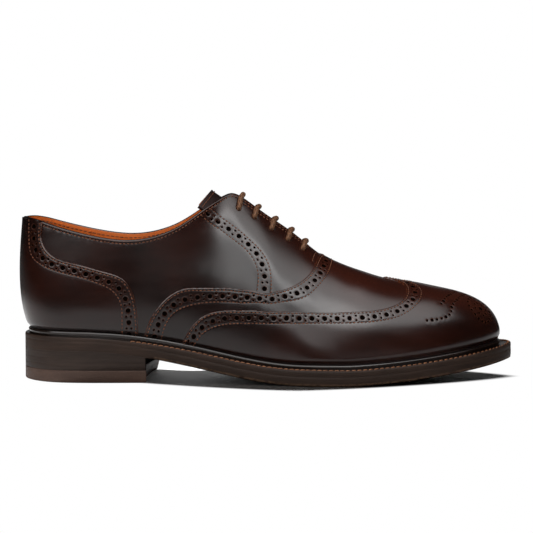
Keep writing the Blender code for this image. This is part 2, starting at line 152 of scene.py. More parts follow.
def soften(light, left, right, low, high):
    """Let a box grow dim towards its edges; each number is a share of its width or height."""
    light.data.use_nodes = True
    tree = light.data.node_tree
    face = add_node(tree, "ShaderNodeNewGeometry").outputs["Parametric"]
    apart = add_node(tree, "ShaderNodeSeparateXYZ", i0=face)
    strength = 1.0
    for axis, start, end in (("X", 0, left), ("X", 1, 1 - right), ("Y", 0, low), ("Y", 1, 1 - high)):
        strength = maths(tree, "MULTIPLY", ramp(tree, apart.outputs[axis], start, end), strength)
    tree.links.new(strength, tree.nodes["Emission"].inputs["Strength"])


LIGHTS = {}
for name, azimuth, elevation, away, size, radiance, edges in (
        ("front_box", -33, 39.6, 1.5, (2.5, 1.1), 2.95, (0.2, 0.34, 0.08, 0.1)),
        ("top_box", 41, 66.5, 1.3, (1.85, 1.22), 2.7, (0.25, 0.42, 0.15, 0.25)),
        ("top_core", 22, 55, 1.25, (0.5, 0.85), 3.6, (0.4, 0.4, 0.4, 0.4)),
        ("low_card", 18, 9, 1.5, (0.9, 0.35), 0.3, None),
        ("back_box", 170, 9, 1.5, (1.4, 0.3), 0.2, None),
        ("floor_light", -118, 45, 2.2, (0.3, 0.3), 290, None),
        ("floor_glow", 180, 6, 2.0, (1.6, 0.3), 3, None),
):
    power = radiance * math.pi * size[0] * size[1]
    LIGHTS[name] = soft_box(name, Vector(away * direction(azimuth, elevation)), (0, 0, 0.05), size, power)
    if edges:
        soften(LIGHTS[name], *edges)
LIGHTS["floor_back"] = soft_box("floor_back", (-0.07, 0.15, 0.022), (-0.07, 0, 0.01), (0.12, 0.03), 0.055)
print("lights", list(LIGHTS))

scene.view_settings.view_transform = "Standard"
world = bpy.data.worlds.new("studio")
scene.world = world
world.use_nodes = True
tree = world.node_tree
by_camera = add_node(tree, "ShaderNodeLightPath").outputs["Is Camera Ray"]
shade = blend_colours(tree, by_camera, (0.015, 0.015, 0.015), (1, 1, 1))
tree.links.new(shade, tree.nodes["Background"].inputs["Color"])

# %% [markdown]
# ## The floor
# The floor is white paper. Near the shoe it is lit by its own three lights and takes the shoe's shadow.
# Further away it glows by itself, so that it melts into the white background without an edge; this painted
# white reaches close to the shoe and sets the outer edge of its shadow. In reflections the paper is painted
# darker, and its colour fades to nearly black far from the shoe.

# %% Floor
bpy.ops.mesh.primitive_plane_add(size=12)
floor = bpy.context.object
floor.name = "floor"
paper, tree, shader = new_material("white paper", 0.8, Specular_IOR_Level=0.1)
apart = add_node(tree, "ShaderNodeSeparateXYZ", i0=object_place(tree))


def fade_out(middle, reach_x, reach_y, power, end, near, far):
    """Value that goes from near to far outside a round shape: an oval at a power of 2, a lozenge at 1."""
    total = 0.0
    for axis, centre, reach in (("X", middle, reach_x), ("Y", 0, reach_y)):
        off = maths(tree, "DIVIDE", maths(tree, "SUBTRACT", apart.outputs[axis], centre), reach)
        total = maths(tree, "ADD", maths(tree, "POWER", maths(tree, "ABSOLUTE", off), power), total)
    return ramp(tree, maths(tree, "POWER", total, 1 / power), 1, end, near, far)


ray = add_node(tree, "ShaderNodeLightPath")
# Painted reflection: in reflections the paper is 30% darker than the camera sees it, and its colour fades to
# nearly black far from the shoe.
reflection_dimming = maths(tree, "ADD", maths(tree, "MULTIPLY", ray.outputs["Is Glossy Ray"], -0.3), 1.0)
paper_tone = maths(tree, "MULTIPLY", fade_out(0.05, 0.3, 0.28, 2, 2, 0.95, 0.03), reflection_dimming)
tree.links.new(paper_tone, shader.inputs["Base Color"])
# Painted white: outside an oval close to the shoe the paper glows for the camera, and the oval's edge sets
# the outer edge of the shoe's shadow.
white = fade_out(0.018, 0.131, 0.0645, 1.3, 1.1, 0, 1)
share = maths(tree, "MULTIPLY", white, ray.outputs["Is Camera Ray"])
glow = add_node(tree, "ShaderNodeEmission")
mix = add_node(
    tree, "ShaderNodeMixShader", i0=share, i1=shader.outputs["BSDF"], i2=glow.outputs["Emission"])
tree.links.new(mix.outputs["Shader"], tree.nodes["Material Output"].inputs["Surface"])
floor.data.materials.append(paper)

for name, light in LIGHTS.items():
    reach = bpy.data.collections.new(f"{name} and the floor")
    reach.objects.link(floor)
    state = "INCLUDE" if name.startswith("floor") else "EXCLUDE"
    reach.collection_objects[0].light_linking.link_state = state
    light.light_linking.receiver_collection = reach

# %% [markdown]
# ## The last
# A shoe is built over a last, the wooden foot that gives it its shape. The CAD model lofts its upper through
# nineteen sections of the last, and the same table and curves are repeated here. So any place on the leather
# can be named by three numbers: the side of the shoe, the row of the table, and how far up the section it is.

# %% Section table
SOLE_LENGTH = 308 * MM
BALL_WIDTH = 106 * MM
INSTEP_HEIGHT = 115.4 * MM
HEEL_HEIGHT = 19.8 * MM
TOE_SPRING = 12 * MM
OUTSOLE_THICKNESS = 6 * MM
UPPER_WALL = 2.2 * MM
GAP = 0.3 * MM
LATERAL, MEDIAL = -1, 1
SIDES = (LATERAL, MEDIAL)
THROAT_ROW, LACE_EDGE_ROW = 12, 9
SECTION_COLUMNS = (
    "sole_at", "lateral", "medial", "margin", "flare", "rise",
    "top_at", "swing", "opening", "top_height", "lean", "shoulder", "drop",
)
SECTIONS = np.array((
    (0.0, 0.0, 0.0, 6.2, 11.0, 24, -0.2, 0.0, 0.0, 87.3, 2.5, 0, 40),
    (1.1, 14.2, 14.2, 6.0, 10.5, 24, 0.9, 0.0, 10.6, 87.2, 3.0, 0, 40),
    (4.2, 25.5, 25.5, 5.6, 9.5, 24, 3.6, 0.0, 19.0, 86.0, 4.0, 0, 40),
    (8.8, 31.8, 31.4, 5.2, 8.0, 25, 8.0, 0.0, 25.2, 82.6, 4.5, 0, 40),
    (16.2, 33.4, 32.6, 4.9, 6.0, 27, 15.5, 0.0, 29.6, 77.9, 3.5, 0, 40),
    (24.7, 32.6, 30.8, 4.8, 4.5, 29, 23.4, 0.0, 30.2, 76.4, 3.5, 0, 38),
    (32.5, 31.9, 27.9, 4.9, 4.0, 32, 30.8, 0.0, 26.3, 81.8, 5.0, 0, 33),
    (40.3, 35.1, 28.3, 5.2, 4.0, 36, 36.4, 0.0, 19.4, 91.2, 7.5, 0, 27),
    (46.1, 40.2, 31.3, 5.4, 4.0, 40, 40.6, 0.0, 9.8, 98.1, 11.0, 0, 17),
    (50.6, 44.3, 35.1, 5.6, 4.0, 42, 43.7, 0.3, 3.6, 99.3, 14.0, 0, 10),
    (55.2, 47.9, 39.2, 5.8, 3.5, 43, 49.0, 0.8, 2.4, 89.6, 11.0, 8, 8),
    (59.7, 50.6, 43.4, 6.0, 3.0, 44, 55.2, 1.6, 2.2, 78.2, 8.0, 14, 8.5),
    (65.0, 51.4, 46.7, 6.2, 2.5, 46, 61.0, 2.6, 0.0, 66.2, 2.0, 42, 3),
    (71.4, 49.5, 47.6, 6.4, 2.0, 48, 67.2, 4.0, 0.0, 58.5, 0.0, 60, 0),
    (79.2, 44.6, 45.6, 6.8, 1.8, 50, 73.7, 5.5, 0.0, 52.9, 0.0, 68, 0),
    (87.0, 36.4, 40.0, 7.2, 1.6, 53, 79.2, 6.5, 0.0, 50.1, 0.0, 76, 0),
    (93.5, 24.8, 32.0, 7.6, 1.5, 55, 82.8, 7.0, 0.0, 48.2, 0.0, 80, 0),
    (98.0, 10.4, 22.6, 7.9, 1.5, 56, 84.6, 7.0, 0.0, 47.2, 0.0, 80, 0),
    (100.0, -6.6, 6.6, 8.2, 1.5, 56, 85.2, 7.0, 0.0, 46.9, 0.0, 80, 0),
))
LAST_ROW = len(SECTIONS) - 1


def column(name):
    return SECTIONS[:, SECTION_COLUMNS.index(name)]


def closed_spline(values):
    """Smooth curve through values that go once round a closed loop, one unit apart."""
    count = len(values)
    matrix = 4 * np.eye(count) + np.roll(np.eye(count), 1, 0) + np.roll(np.eye(count), -1, 0)
    second = np.linalg.solve(matrix, 6 * (np.roll(values, 1) - 2 * values + np.roll(values, -1)))

    def at(place):
        place = np.mod(place, count)
        low = np.floor(place).astype(int) % count
        high = (low + 1) % count
        part = place - np.floor(place)
        rest = 1 - part
        bend = (rest ** 3 - rest) * second[low] + (part ** 3 - part) * second[high]
        return rest * values[low] + part * values[high] + bend / 6

    return at


def round_the_shoe(lateral, medial):
    return closed_spline(np.concatenate([lateral, medial[-2:0:-1]]))


SHAPE = {name: round_the_shoe(column(name), column(name)) for name in SECTION_COLUMNS}
SOLE_Y = round_the_shoe(-column("lateral"), column("medial"))

# %% Sole edge and sole curve
def sole_edge(side, row):
    place = -np.asarray(side) * np.asarray(row, float)
    return SHAPE["sole_at"](place) * SOLE_LENGTH / 100, SOLE_Y(place) * BALL_WIDTH / 100


def outwards(side, row):
    """Unit vector across the sole edge, pointing away from the shoe."""
    x_before, y_before = sole_edge(side, np.asarray(row) - 0.01)
    x_after, y_after = sole_edge(side, np.asarray(row) + 0.01)
    x_along, y_along = x_after - x_before, y_after - y_before
    length = np.hypot(x_along, y_along)
    return -np.asarray(side) * y_along / length, np.asarray(side) * x_along / length


def sole_lift(x):
    """Height of the tread above the floor: heel, flat forefoot and toe spring."""
    share = np.asarray(x) / SOLE_LENGTH
    arch = np.clip((0.565 - share) / 0.445, 0, 1)
    toe = np.clip((share - 0.655) / 0.345, 0, None)
    return HEEL_HEIGHT * arch ** 2 * (3 - 2 * arch) + TOE_SPRING * toe ** 1.45


half_rows = np.arange(0, LAST_ROW + 0.1, 0.5)
outsole_low, outsole_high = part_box("outsole")
SHIFT = np.array([
    outsole_high.x - SOLE_LENGTH, outsole_low.y - sole_edge(LATERAL, half_rows)[1].min(), 0,
])
print("last to CAD frame, mm", np.round(SHIFT / MM, 3))

# %% Points and normals on the upper
def smooth_step(share):
    share = np.clip(share, 0, 1)
    return share ** 2 * (3 - 2 * share)


def unit(vectors):
    return vectors / np.linalg.norm(vectors, axis=-1, keepdims=True)


def top_edge(side, row):
    """Where a section ends: on the top line, the lace edge or the ridge of the vamp."""
    row = np.asarray(row, float)
    place = -np.asarray(side) * row
    opening = np.where(row >= THROAT_ROW, 0, np.maximum(SHAPE["opening"](place), 0))
    y = SHAPE["swing"](place) + np.asarray(side) * np.where(row < 0, -1, 1) * opening
    x = SHAPE["top_at"](place) * SOLE_LENGTH / 100
    return np.stack([x, y * MM, SHAPE["top_height"](place) * INSTEP_HEIGHT / 100], -1)


def ridge_slope(row):
    behind = np.asarray(row, float) - 0.25
    step = top_edge(LATERAL, row) - top_edge(LATERAL, behind)
    slope = step[..., 2] / np.maximum(step[..., 0], 0.1 * MM)
    return np.clip(slope, -1, 0) * smooth_step(np.asarray(row, float) - LACE_EDGE_ROW)


def section(side, row):
    """The four control points of a section's curve."""
    row = np.asarray(row, float)
    shape = {name: curve(-np.asarray(side) * row) for name, curve in SHAPE.items()}
    edge_x, edge_y = sole_edge(side, row)
    out_x, out_y = outwards(side, row)
    foot_x = edge_x - shape["margin"] * MM * out_x
    foot_y = edge_y - shape["margin"] * MM * out_y
    foot = np.stack([foot_x, foot_y, sole_lift(foot_x) + OUTSOLE_THICKNESS + GAP], -1)
    top = top_edge(side, row)
    height = top[..., 2] - foot[..., 2]
    reach = np.hypot(top[..., 0] - foot[..., 0], top[..., 1] - foot[..., 1])
    flare = shape["flare"] * MM
    low = foot + np.stack([flare * out_x, flare * out_y, shape["rise"] / 100 * height], -1)
    shoulder = shape["lean"] * MM + shape["shoulder"] / 100 * reach
    fall = shape["drop"] / 100 * height - ridge_slope(row) * out_x * shoulder
    return foot, low, top + np.stack([shoulder * out_x, shoulder * out_y, -fall], -1), top


# Millimetres at these shares of the sole's length: rises of the welt's ledge and lip,
# and heights above the lip of the bend and of the band of painted shade
WELT_RISE_AT = (0.0, 0.07, 0.155, 0.25, 0.36, 0.565, 0.81, 1.0)
LEDGE_RISE = (-0.3, -0.4, -1.1, -0.2, 0.7, 1.0, 0.5, 0.3)
LIP_RISE = (0.5, 0.5, 0.1, 1.0, 1.8, 1.3, 0.7, 0.4)
TUCK_RISE = (4.6, 3.2, 2.6, 2.6, 3.0, 3.2, 5.5, 7.0)
PAINTED_SHADE_RISE = (3.8, 3.8, 3.6, 3.2, 2.8, 3.2, 1.8, 1.4)
LIP_TOP = 5.2
TUCK_DEPTH = 1.2 * MM


def over_welt(x):
    """Height of the lip's top above the sole, and of the bend and the band of painted shade above the lip, in
    mm.
    """
    rises = LIP_RISE, TUCK_RISE, PAINTED_SHADE_RISE
    lip, bend, seam = (np.interp(x / SOLE_LENGTH, WELT_RISE_AT, rise) for rise in rises)
    return LIP_TOP + lip, bend, seam


def tuck(x, height):
    """How far the leather is drawn in at a height above the sole: it bends under above the welt's lip."""
    lip, bend, _ = over_welt(x)
    height = height / MM
    return TUCK_DEPTH * smooth_step(height / 2 - 1.4) * smooth_step((lip + bend - height) / bend)


def upper_point(side, row, up):
    foot, low, high, top = section(side, row)
    up = np.asarray(up, float)[..., None]
    down = 1 - up
    point = down ** 3 * foot + 3 * down ** 2 * up * low + 3 * down * up ** 2 * high + up ** 3 * top
    out = unit((low - foot) * (1, 1, 0))
    return point - tuck(foot[..., 0], (point - foot)[..., 2])[..., None] * out


def tangents(side, row, up):
    """Change of the upper's point with the row and with the place up the section."""
    step = 0.02
    up = np.clip(up, step, 1 - step)
    row_step = upper_point(side, row + step, up) - upper_point(side, row - step, up)
    up_step = upper_point(side, row, up + step) - upper_point(side, row, up - step)
    return row_step / (2 * step), up_step / (2 * step)


def upper_normal(side, row, up):
    return unit(-np.asarray(side)[..., None] * np.cross(*tangents(side, row, up)))


def upper_layer(side, row, up, height):
    """Point above (or, where negative, below) the outer face; both sides agree along the vamp's ridge."""
    side, row, up = np.broadcast_arrays(np.asarray(side, float), np.asarray(row, float), up)
    share = np.where(row >= THROAT_ROW, np.clip((up - 0.95) / 0.1, 0, 0.5), 0)[..., None]
    normal = (1 - share) * upper_normal(side, row, up) + share * upper_normal(-side, row, up)
    return upper_point(side, row, up) + np.asarray(height)[..., None] * unit(normal)


# %% [markdown]
# ## The flat pattern
# Uppers are cut from flat leather, and punched and stitched before they go over the last. The same order
# helps here: each panel is drawn on a flat pattern, filled with triangles there, and then laid on the last.
# The pattern opens the upper out like a skin, away from its top edge, so nothing is cut at heel or toe.

# %% Flat pattern and back
TABLE_ROWS = np.linspace(0, LAST_ROW, 1801)
SECTION_UPS = np.linspace(0, 1, 41)
FLAT = {}
STRAIGHT = (3.6, 12.4)


def opening_angle(side):
    """Direction in which each section is laid flat: it only ever turns one way, so sections never cross."""
    x, y = outwards(side, TABLE_ROWS)
    angle = np.unwrap(np.arctan2(side * y, x))
    angle = np.minimum.accumulate(angle)
    ends = np.interp(STRAIGHT, TABLE_ROWS, angle)
    middle = (TABLE_ROWS > STRAIGHT[0]) & (TABLE_ROWS < STRAIGHT[1])
    return np.where(middle, np.interp(TABLE_ROWS, STRAIGHT, ends), angle)


for side in SIDES:
    lines = upper_point(side, TABLE_ROWS[:, None], SECTION_UPS[None, :])
    angle = opening_angle(side)
    FLAT[side] = np.column_stack([
        top_edge(side, TABLE_ROWS)[:, :2], np.cos(angle), side * np.sin(angle),
        np.linalg.norm(np.diff(lines, axis=1), axis=2).sum(1),
    ])
    print("pattern turns from", np.round(np.degrees(angle[[0, 360, 1240, 1800]]), 1), "degrees")


def to_flat(side, row, up):
    side, row, up = np.broadcast_arrays(np.asarray(side, float), np.asarray(row, float), up)
    place = np.zeros(row.shape + (2,))
    for one in SIDES:
        pick = side == one
        values = [np.interp(row[pick], TABLE_ROWS, FLAT[one][:, k]) for k in range(5)]
        far = (1 - up[pick]) * values[4]
        place[pick] = np.stack([values[0] + far * values[2], values[1] + far * values[3]], -1)
    return place


def flat_tangents(side, row, up, step):
    """Change of the place on the pattern with the row and with the place up the section."""
    by_row = to_flat(side, row + step, up) - to_flat(side, row - step, up)
    by_up = to_flat(side, row, up + step) - to_flat(side, row, up - step)
    return by_row / (2 * step), by_up / (2 * step)


def tree_of(points):
    tree = KDTree(len(points))
    for number, point in enumerate(points):
        tree.insert((*point, 0)[:3], number)
    tree.balance()
    return tree


def nearest(tree, points):
    """Number of the nearest point in a tree, and the distance to it."""
    found = [tree.find((*point, 0)[:3])[1:] for point in points]
    return np.array([n for n, _ in found], int), np.array([d for _, d in found])


seed_rows, seed_ups = np.meshgrid(np.arange(0, 18.01, 0.1), np.linspace(0, 1, 31), indexing="ij")
SEEDS = np.array([
    (side, row, up) for side in SIDES for row, up in zip(seed_rows.ravel(), seed_ups.ravel())
])
SEED_TREE = tree_of(to_flat(*SEEDS.T))


def settle(points, side, row, up):
    """Newton steps from a guess to the place on the upper that lies at the flat points."""
    for _ in range(8):
        miss = points - to_flat(side, row, up)
        by_row, by_up = flat_tangents(side, row, up, 1e-3)
        area = by_row[:, 0] * by_up[:, 1] - by_row[:, 1] * by_up[:, 0]
        area = np.where(np.abs(area) < 1e-9, 1e-9, area)
        row_step = (miss[:, 0] * by_up[:, 1] - miss[:, 1] * by_up[:, 0]) / area
        up_step = (by_row[:, 0] * miss[:, 1] - by_row[:, 1] * miss[:, 0]) / area
        row = np.clip(row + np.clip(row_step, -0.3, 0.3), 0.001, LAST_ROW - 0.001)
        up = np.clip(up + np.clip(up_step, -0.1, 0.1), 0, 1)
    return row, up, np.linalg.norm(points - to_flat(side, row, up), axis=1)


def from_flat(points):
    """Side, row and up of points on the flat pattern."""
    points = np.asarray(points, float)
    side, row, up = SEEDS[nearest(SEED_TREE, points)[0]].T.copy()
    start_row, start_up = row.copy(), up.copy()
    row, up, miss = settle(points, side, row, up)
    bad = miss > 0.01 * MM
    if bad.any():
        other = settle(points[bad], -side[bad], start_row[bad], start_up[bad])
        better = other[2] < miss[bad]
        places = np.flatnonzero(bad)[better]
        side[places] *= -1
        row[places], up[places] = other[0][better], other[1][better]
    return side, row, up


test_side, test_row, test_up = SEEDS[::7].T
test_flat = to_flat(test_side, test_row, test_up)
test_back = to_flat(*from_flat(test_flat))
print("pattern and back, largest miss in mm", np.abs(test_flat - test_back).max() / MM)

# %% [markdown]
# ## Lines on the pattern
# The shapes of the wing, the counter and the facing were read from the photograph as short lists of
# (row, up) places. A smooth curve goes through each list. Distances on leather are measured on the last,
# not on the pattern, so that punched holes stay round and stitches stay even.

# %% Line helpers
def run_length(points):
    """Distance along a line of points, from its start to each of them."""
    return np.concatenate([[0], np.cumsum(np.linalg.norm(np.diff(points, axis=0), axis=1))])


def at_lengths(lengths, at, points):
    """Points of a line at given lengths along it, where at holds the length at each of its points."""
    return np.stack([np.interp(lengths, at, values) for values in points.T], -1)


def spline_line(points, step=0.5 * MM):
    """Natural cubic curve through flat points, returned as points a step apart."""
    points = np.asarray(points, float)
    at = run_length(points)
    gaps = np.diff(at)
    count = len(points)
    matrix, right = np.eye(count), np.zeros(points.shape)
    for k in range(1, count - 1):
        matrix[k, k - 1:k + 2] = gaps[k - 1], 2 * (gaps[k - 1] + gaps[k]), gaps[k]
        right[k] = 6 * ((points[k + 1] - points[k]) / gaps[k] - (points[k] - points[k - 1]) / gaps[k - 1])
    second = np.linalg.solve(matrix, right)
    places = np.linspace(0, at[-1], max(2, int(round(at[-1] / step)) + 1))
    low = np.clip(np.searchsorted(at, places, "right") - 1, 0, count - 2)
    gap = gaps[low][:, None]
    part = ((places - at[low]) / gaps[low])[:, None]
    rest = 1 - part
    bend = ((rest ** 3 - rest) * second[low] + (part ** 3 - part) * second[low + 1]) * gap ** 2 / 6
    return rest * points[low] + part * points[low + 1] + bend


def stretch(points):
    """How a step on the pattern turns into a step on the leather, and the leather's normal there."""
    side, row, up = from_flat(points)
    by_row, by_up = tangents(side, row, up)
    step = 0.01
    inner = np.clip(row, step, LAST_ROW - step), np.clip(up, step, 1 - step)
    flat_steps = np.stack(flat_tangents(side, *inner, step), -1)
    return np.stack([by_row, by_up], -1) @ np.linalg.inv(flat_steps), upper_normal(side, row, up)


def on_leather(points, height=0.0):
    """Places on the last for flat points, at a height above its surface."""
    side, row, up = from_flat(points)
    return upper_layer(side, row, up, np.zeros(len(points)) + height)


def spaced(line, pitch, start=0.0, end=0.0):
    """Points along a flat line, an even distance apart on the leather."""
    at = run_length(on_leather(line))
    count = int((at[-1] - start - end) / pitch)
    return at_lengths(start + pitch * np.arange(count + 1), at, line)


def even(line, pitch):
    """The same line from end to end, cut in even steps of about a pitch on the leather."""
    at = run_length(on_leather(line))
    return at_lengths(np.linspace(0, at[-1], max(2, int(round(at[-1] / pitch)) + 1)), at, line)


def heading(points, along):
    """Stretch and normal at flat points, and the direction on the leather of a flat direction there."""
    turn, normal = stretch(points)
    return turn, normal, unit((turn @ along[:, :, None])[:, :, 0])


def moved(points, along, ahead, aside):
    """Flat points moved over the leather: ahead along the flat direction, and aside to its left."""
    turn, normal, forward = heading(points, along)
    left = np.cross(normal, forward)
    want = np.asarray(ahead)[..., None] * forward + np.asarray(aside)[..., None] * left
    return points + (np.linalg.pinv(turn) @ want[:, :, None])[:, :, 0]


def beside(line, distance, towards):
    """Line a distance to the side of another, on the side where the guide line lies."""
    along = np.gradient(line, axis=0)
    choices = [moved(line, along, 0, sign * distance) for sign in (1, -1)]
    guide = tree_of(towards)
    return min(choices, key=lambda choice: nearest(guide, choice[::4])[1].mean())


def midway(first, second):
    other = first[nearest(tree_of(first), second)[0]]
    line = (second + other) / 2
    for _ in range(12):
        line[1:-1] = (line[:-2] + 2 * line[1:-1] + line[2:]) / 4
    return line


# %% Edges and stitch rows of the panels
EDGES = {
    "counter": (
        (2.18, 1.0), (2.19, 0.975), (2.24, 0.868), (2.62, 0.789), (3.10, 0.758), (3.51, 0.750), (3.87, 0.736),
        (4.23, 0.717), (4.58, 0.679), (4.80, 0.577), (4.88, 0.440), (4.90, 0.290), (4.89, 0.130), (4.88, 0.0),
    ),
    "vamp": (
        (4.95, 0.0), (5.06, 0.139), (5.22, 0.289), (5.46, 0.408), (5.77, 0.490), (6.16, 0.521), (6.60, 0.498),
        (7.06, 0.464), (7.59, 0.426), (8.20, 0.386), (8.90, 0.362), (9.59, 0.377), (10.33, 0.440),
        (10.90, 0.520), (11.36, 0.628), (11.70, 0.785), (11.88, 0.915), (12.01, 1.0),
    ),
    "wing": (
        (5.85, 0.0), (6.06, 0.130), (6.28, 0.232), (6.59, 0.301), (7.01, 0.321), (7.49, 0.310), (8.06, 0.289),
        (8.74, 0.277), (9.41, 0.282), (10.05, 0.303), (10.70, 0.330), (11.31, 0.357), (11.87, 0.388),
        (12.37, 0.418), (12.83, 0.445), (13.26, 0.476), (13.68, 0.529), (14.11, 0.636), (14.34, 0.76),
        (14.42, 0.871), (14.37, 0.935), (14.2, 0.975), (13.93, 1.0),
    ),
}
FAR_ROWS = {
    "counter": (
        (1.30, 1.0), (1.33, 0.973), (1.43, 0.870), (1.62, 0.761), (2.24, 0.694), (2.83, 0.666),
        (3.28, 0.654), (3.67, 0.640), (4.01, 0.611), (4.34, 0.556), (4.52, 0.442), (4.53, 0.289),
        (4.51, 0.122), (4.50, 0.02),
    ),
    "vamp": (
        (5.42, 0.02), (5.50, 0.146), (5.65, 0.276), (5.93, 0.363), (6.31, 0.392), (6.71, 0.391),
        (7.16, 0.372), (7.66, 0.345), (8.27, 0.320), (8.97, 0.313), (9.63, 0.329), (10.29, 0.369),
        (10.94, 0.432), (11.45, 0.528), (11.92, 0.674), (12.20, 0.850), (12.33, 1.0),
    ),
    "wing": (
        (6.06, 0.01), (6.29, 0.096), (6.55, 0.188), (6.93, 0.231), (7.41, 0.238), (7.97, 0.228),
        (8.65, 0.221), (9.34, 0.227), (9.99, 0.245), (10.66, 0.268), (11.29, 0.294), (11.87, 0.320),
        (12.38, 0.342), (12.84, 0.361), (13.27, 0.387), (13.68, 0.425), (14.09, 0.494), (14.52, 0.616),
        (14.78, 0.75), (14.87, 0.860), (14.80, 0.945), (14.60, 1.0),
    ),
}
FACING_ROWS = (
    ((7.00, 0.975), (7.08, 0.949), (7.37, 0.862), (7.70, 0.783), (8.15, 0.682), (8.70, 0.595), (8.97, 0.555),
     (9.10, 0.520), (9.14, 0.482), (9.07, 0.43), (8.87, 0.377), (8.76, 0.35)),
    ((7.38, 0.978), (7.48, 0.952), (7.87, 0.852), (8.29, 0.760), (8.65, 0.702), (9.13, 0.643), (9.50, 0.596),
     (9.69, 0.540), (9.70, 0.501), (9.64, 0.45), (9.49, 0.382), (9.4, 0.35)),
)


def pattern_line(side, table):
    rows, ups = np.array(table).T
    return to_flat(*from_flat(spline_line(to_flat(side, rows, ups))))


LINES = {}
for side in SIDES:
    for name in EDGES:
        LINES[name, side] = pattern_line(side, EDGES[name])
        LINES[name, "far", side] = pattern_line(side, FAR_ROWS[name])
    for number, table in enumerate(FACING_ROWS):
        LINES["facing", number, side] = pattern_line(side, table)
print("pattern lines", len(LINES), "points", sum(map(len, LINES.values())))

# %% [markdown]
# ## Punched bands
# A full brogue carries a band of holes along each edge: one large hole, then a pair of small ones set
# crosswise, and so on. The band runs midway between two rows of stitches. On the toe sits a medallion, here a
# plain rosette with two curled rows. Holes are listed first and cut when their panel is made.

# %% Bands of holes
BIG_HOLE, SMALL_HOLE = 1.55 * MM, 0.72 * MM
PAIR_HALF = 1.5 * MM
NEAR_ROW = {"counter": 1.4 * MM, "vamp": 1.5 * MM, "wing": 1.25 * MM}
BAND_START = {"counter": 4.0 * MM, "vamp": 7.0 * MM, "wing": 6.0 * MM, "facing": 2.0 * MM}
BAND_PITCH = {"counter": 7.5 * MM, "vamp": 7.85 * MM, "wing": 7.77 * MM, "facing": 8.0 * MM}


def band_holes(middle, start, pitch, end):
    """Flat centres and radii of a band's holes along its middle line."""
    big = spaced(middle, pitch, start, end)
    between = spaced(middle, pitch, start + pitch / 2, end)
    along = np.gradient(middle, axis=0)[nearest(tree_of(middle), between)[0]]
    small = np.concatenate([moved(between, along, 0, sign * PAIR_HALF) for sign in (1, -1)])
    return [(place, BIG_HOLE) for place in big] + [(place, SMALL_HOLE) for place in small]


PANELS = "base", "counter", "vamp", "wing"
STITCH_ROWS, HOLES = ({name: [] for name in PANELS} for _ in range(2))
for side in SIDES:
    for name in EDGES:
        edge, far = LINES[name, side], LINES[name, "far", side]
        near = beside(edge, NEAR_ROW[name], far)
        STITCH_ROWS[name] += [near, far]
        HOLES[name] += band_holes(midway(near, far), BAND_START[name], BAND_PITCH[name], 2 * MM)
    first, second = (LINES["facing", number, side] for number in (0, 1))
    STITCH_ROWS["base"] += [first, second]
    HOLES["base"] += band_holes(midway(first, second), BAND_START["facing"], BAND_PITCH["facing"], 0.5 * MM)
print("holes", {name: len(found) for name, found in HOLES.items()})

# %% Toe medallion
HORN_OUTER = (
    (17.36, 0.78), (16.53, 0.73), (15.91, 0.65), (15.52, 0.56), (15.28, 0.46), (15.07, 0.425), (14.88, 0.41),
    (14.52, 0.40),
)
HORN_INNER = ((17.45, 0.875), (16.59, 0.82), (15.78, 0.73), (15.37, 0.64), (15.15, 0.58))
ROSETTE_CENTRE = (16.95, 0.52)
ROSETTE_RINGS = (
    # holes in the ring, half width and half length of the ring, hole radius, first angle in degrees
    (1, 0.0, 0.0, 1.35 * MM, 0),
    (8, 4.9 * MM, 4.4 * MM, 0.8 * MM, 22.5),
    (17, 9.8 * MM, 8.6 * MM, 0.95 * MM, 0),
)

centre = to_flat(LATERAL, *ROSETTE_CENTRE)
for count, half_width, half_length, radius, first in ROSETTE_RINGS:
    turns = math.radians(first) + np.arange(count) * 2 * math.pi / count
    ahead = np.tile([[1.0, 0.0]], (count, 1))
    ring = moved(np.tile(centre, (count, 1)), ahead, half_length * np.cos(turns), half_width * np.sin(turns))
    HOLES["wing"] += [(place, radius) for place in ring]
for side in SIDES:
    for table in (HORN_OUTER, HORN_INNER):
        row_of_holes = spaced(pattern_line(side, table), 3.3 * MM)
        HOLES["wing"] += [
            (place, 1.1 * MM if number % 3 == 1 else 0.85 * MM) for number, place in enumerate(row_of_holes)
        ]
print("wing holes with medallion", len(HOLES["wing"]))

# %% [markdown]
# ## Making leather sheets
# A sheet is filled with triangles on the flat pattern. Its outline, its hole rims and its stitch rows are
# fixed lines, and a grid of points fills the rest; a constrained Delaunay triangulation joins them. Cutting
# holes with Booleans would take hundreds of slow cuts and leave long thin faces, so the holes are left out
# of the filling from the start.

# %% Fill a sheet on the pattern
def inside(points, loops):
    """True where a flat point lies in the area between closed loops."""
    odd = np.zeros(len(points), bool)
    for loop in loops:
        for (x0, y0), (x1, y1) in zip(loop, np.roll(loop, -1, 0)):
            crosses = (y0 > points[:, 1]) != (y1 > points[:, 1])
            if y0 != y1:
                odd ^= crosses & (points[:, 0] < (x1 - x0) * (points[:, 1] - y0) / (y1 - y0) + x0)
    return odd


def hole_rings(holes):
    """Rim and outer ring of each hole on the pattern, round on the leather."""
    rims, outers = [], []
    centres = np.array([place for place, _ in holes])
    turn, _ = stretch(centres)
    for number, (place, radius) in enumerate(holes):
        count = 14 if radius > 1.2 * MM else 10
        turns = np.arange(count) * 2 * math.pi / count
        circle = np.stack([np.cos(turns), np.sin(turns)], -1)
        unstretch = np.linalg.inv(np.linalg.qr(turn[number])[1])
        flat_circle = circle @ unstretch.T
        rims.append(place + radius * flat_circle)
        outers.append(place + (radius + 0.45 * MM) * flat_circle)
    return rims, outers


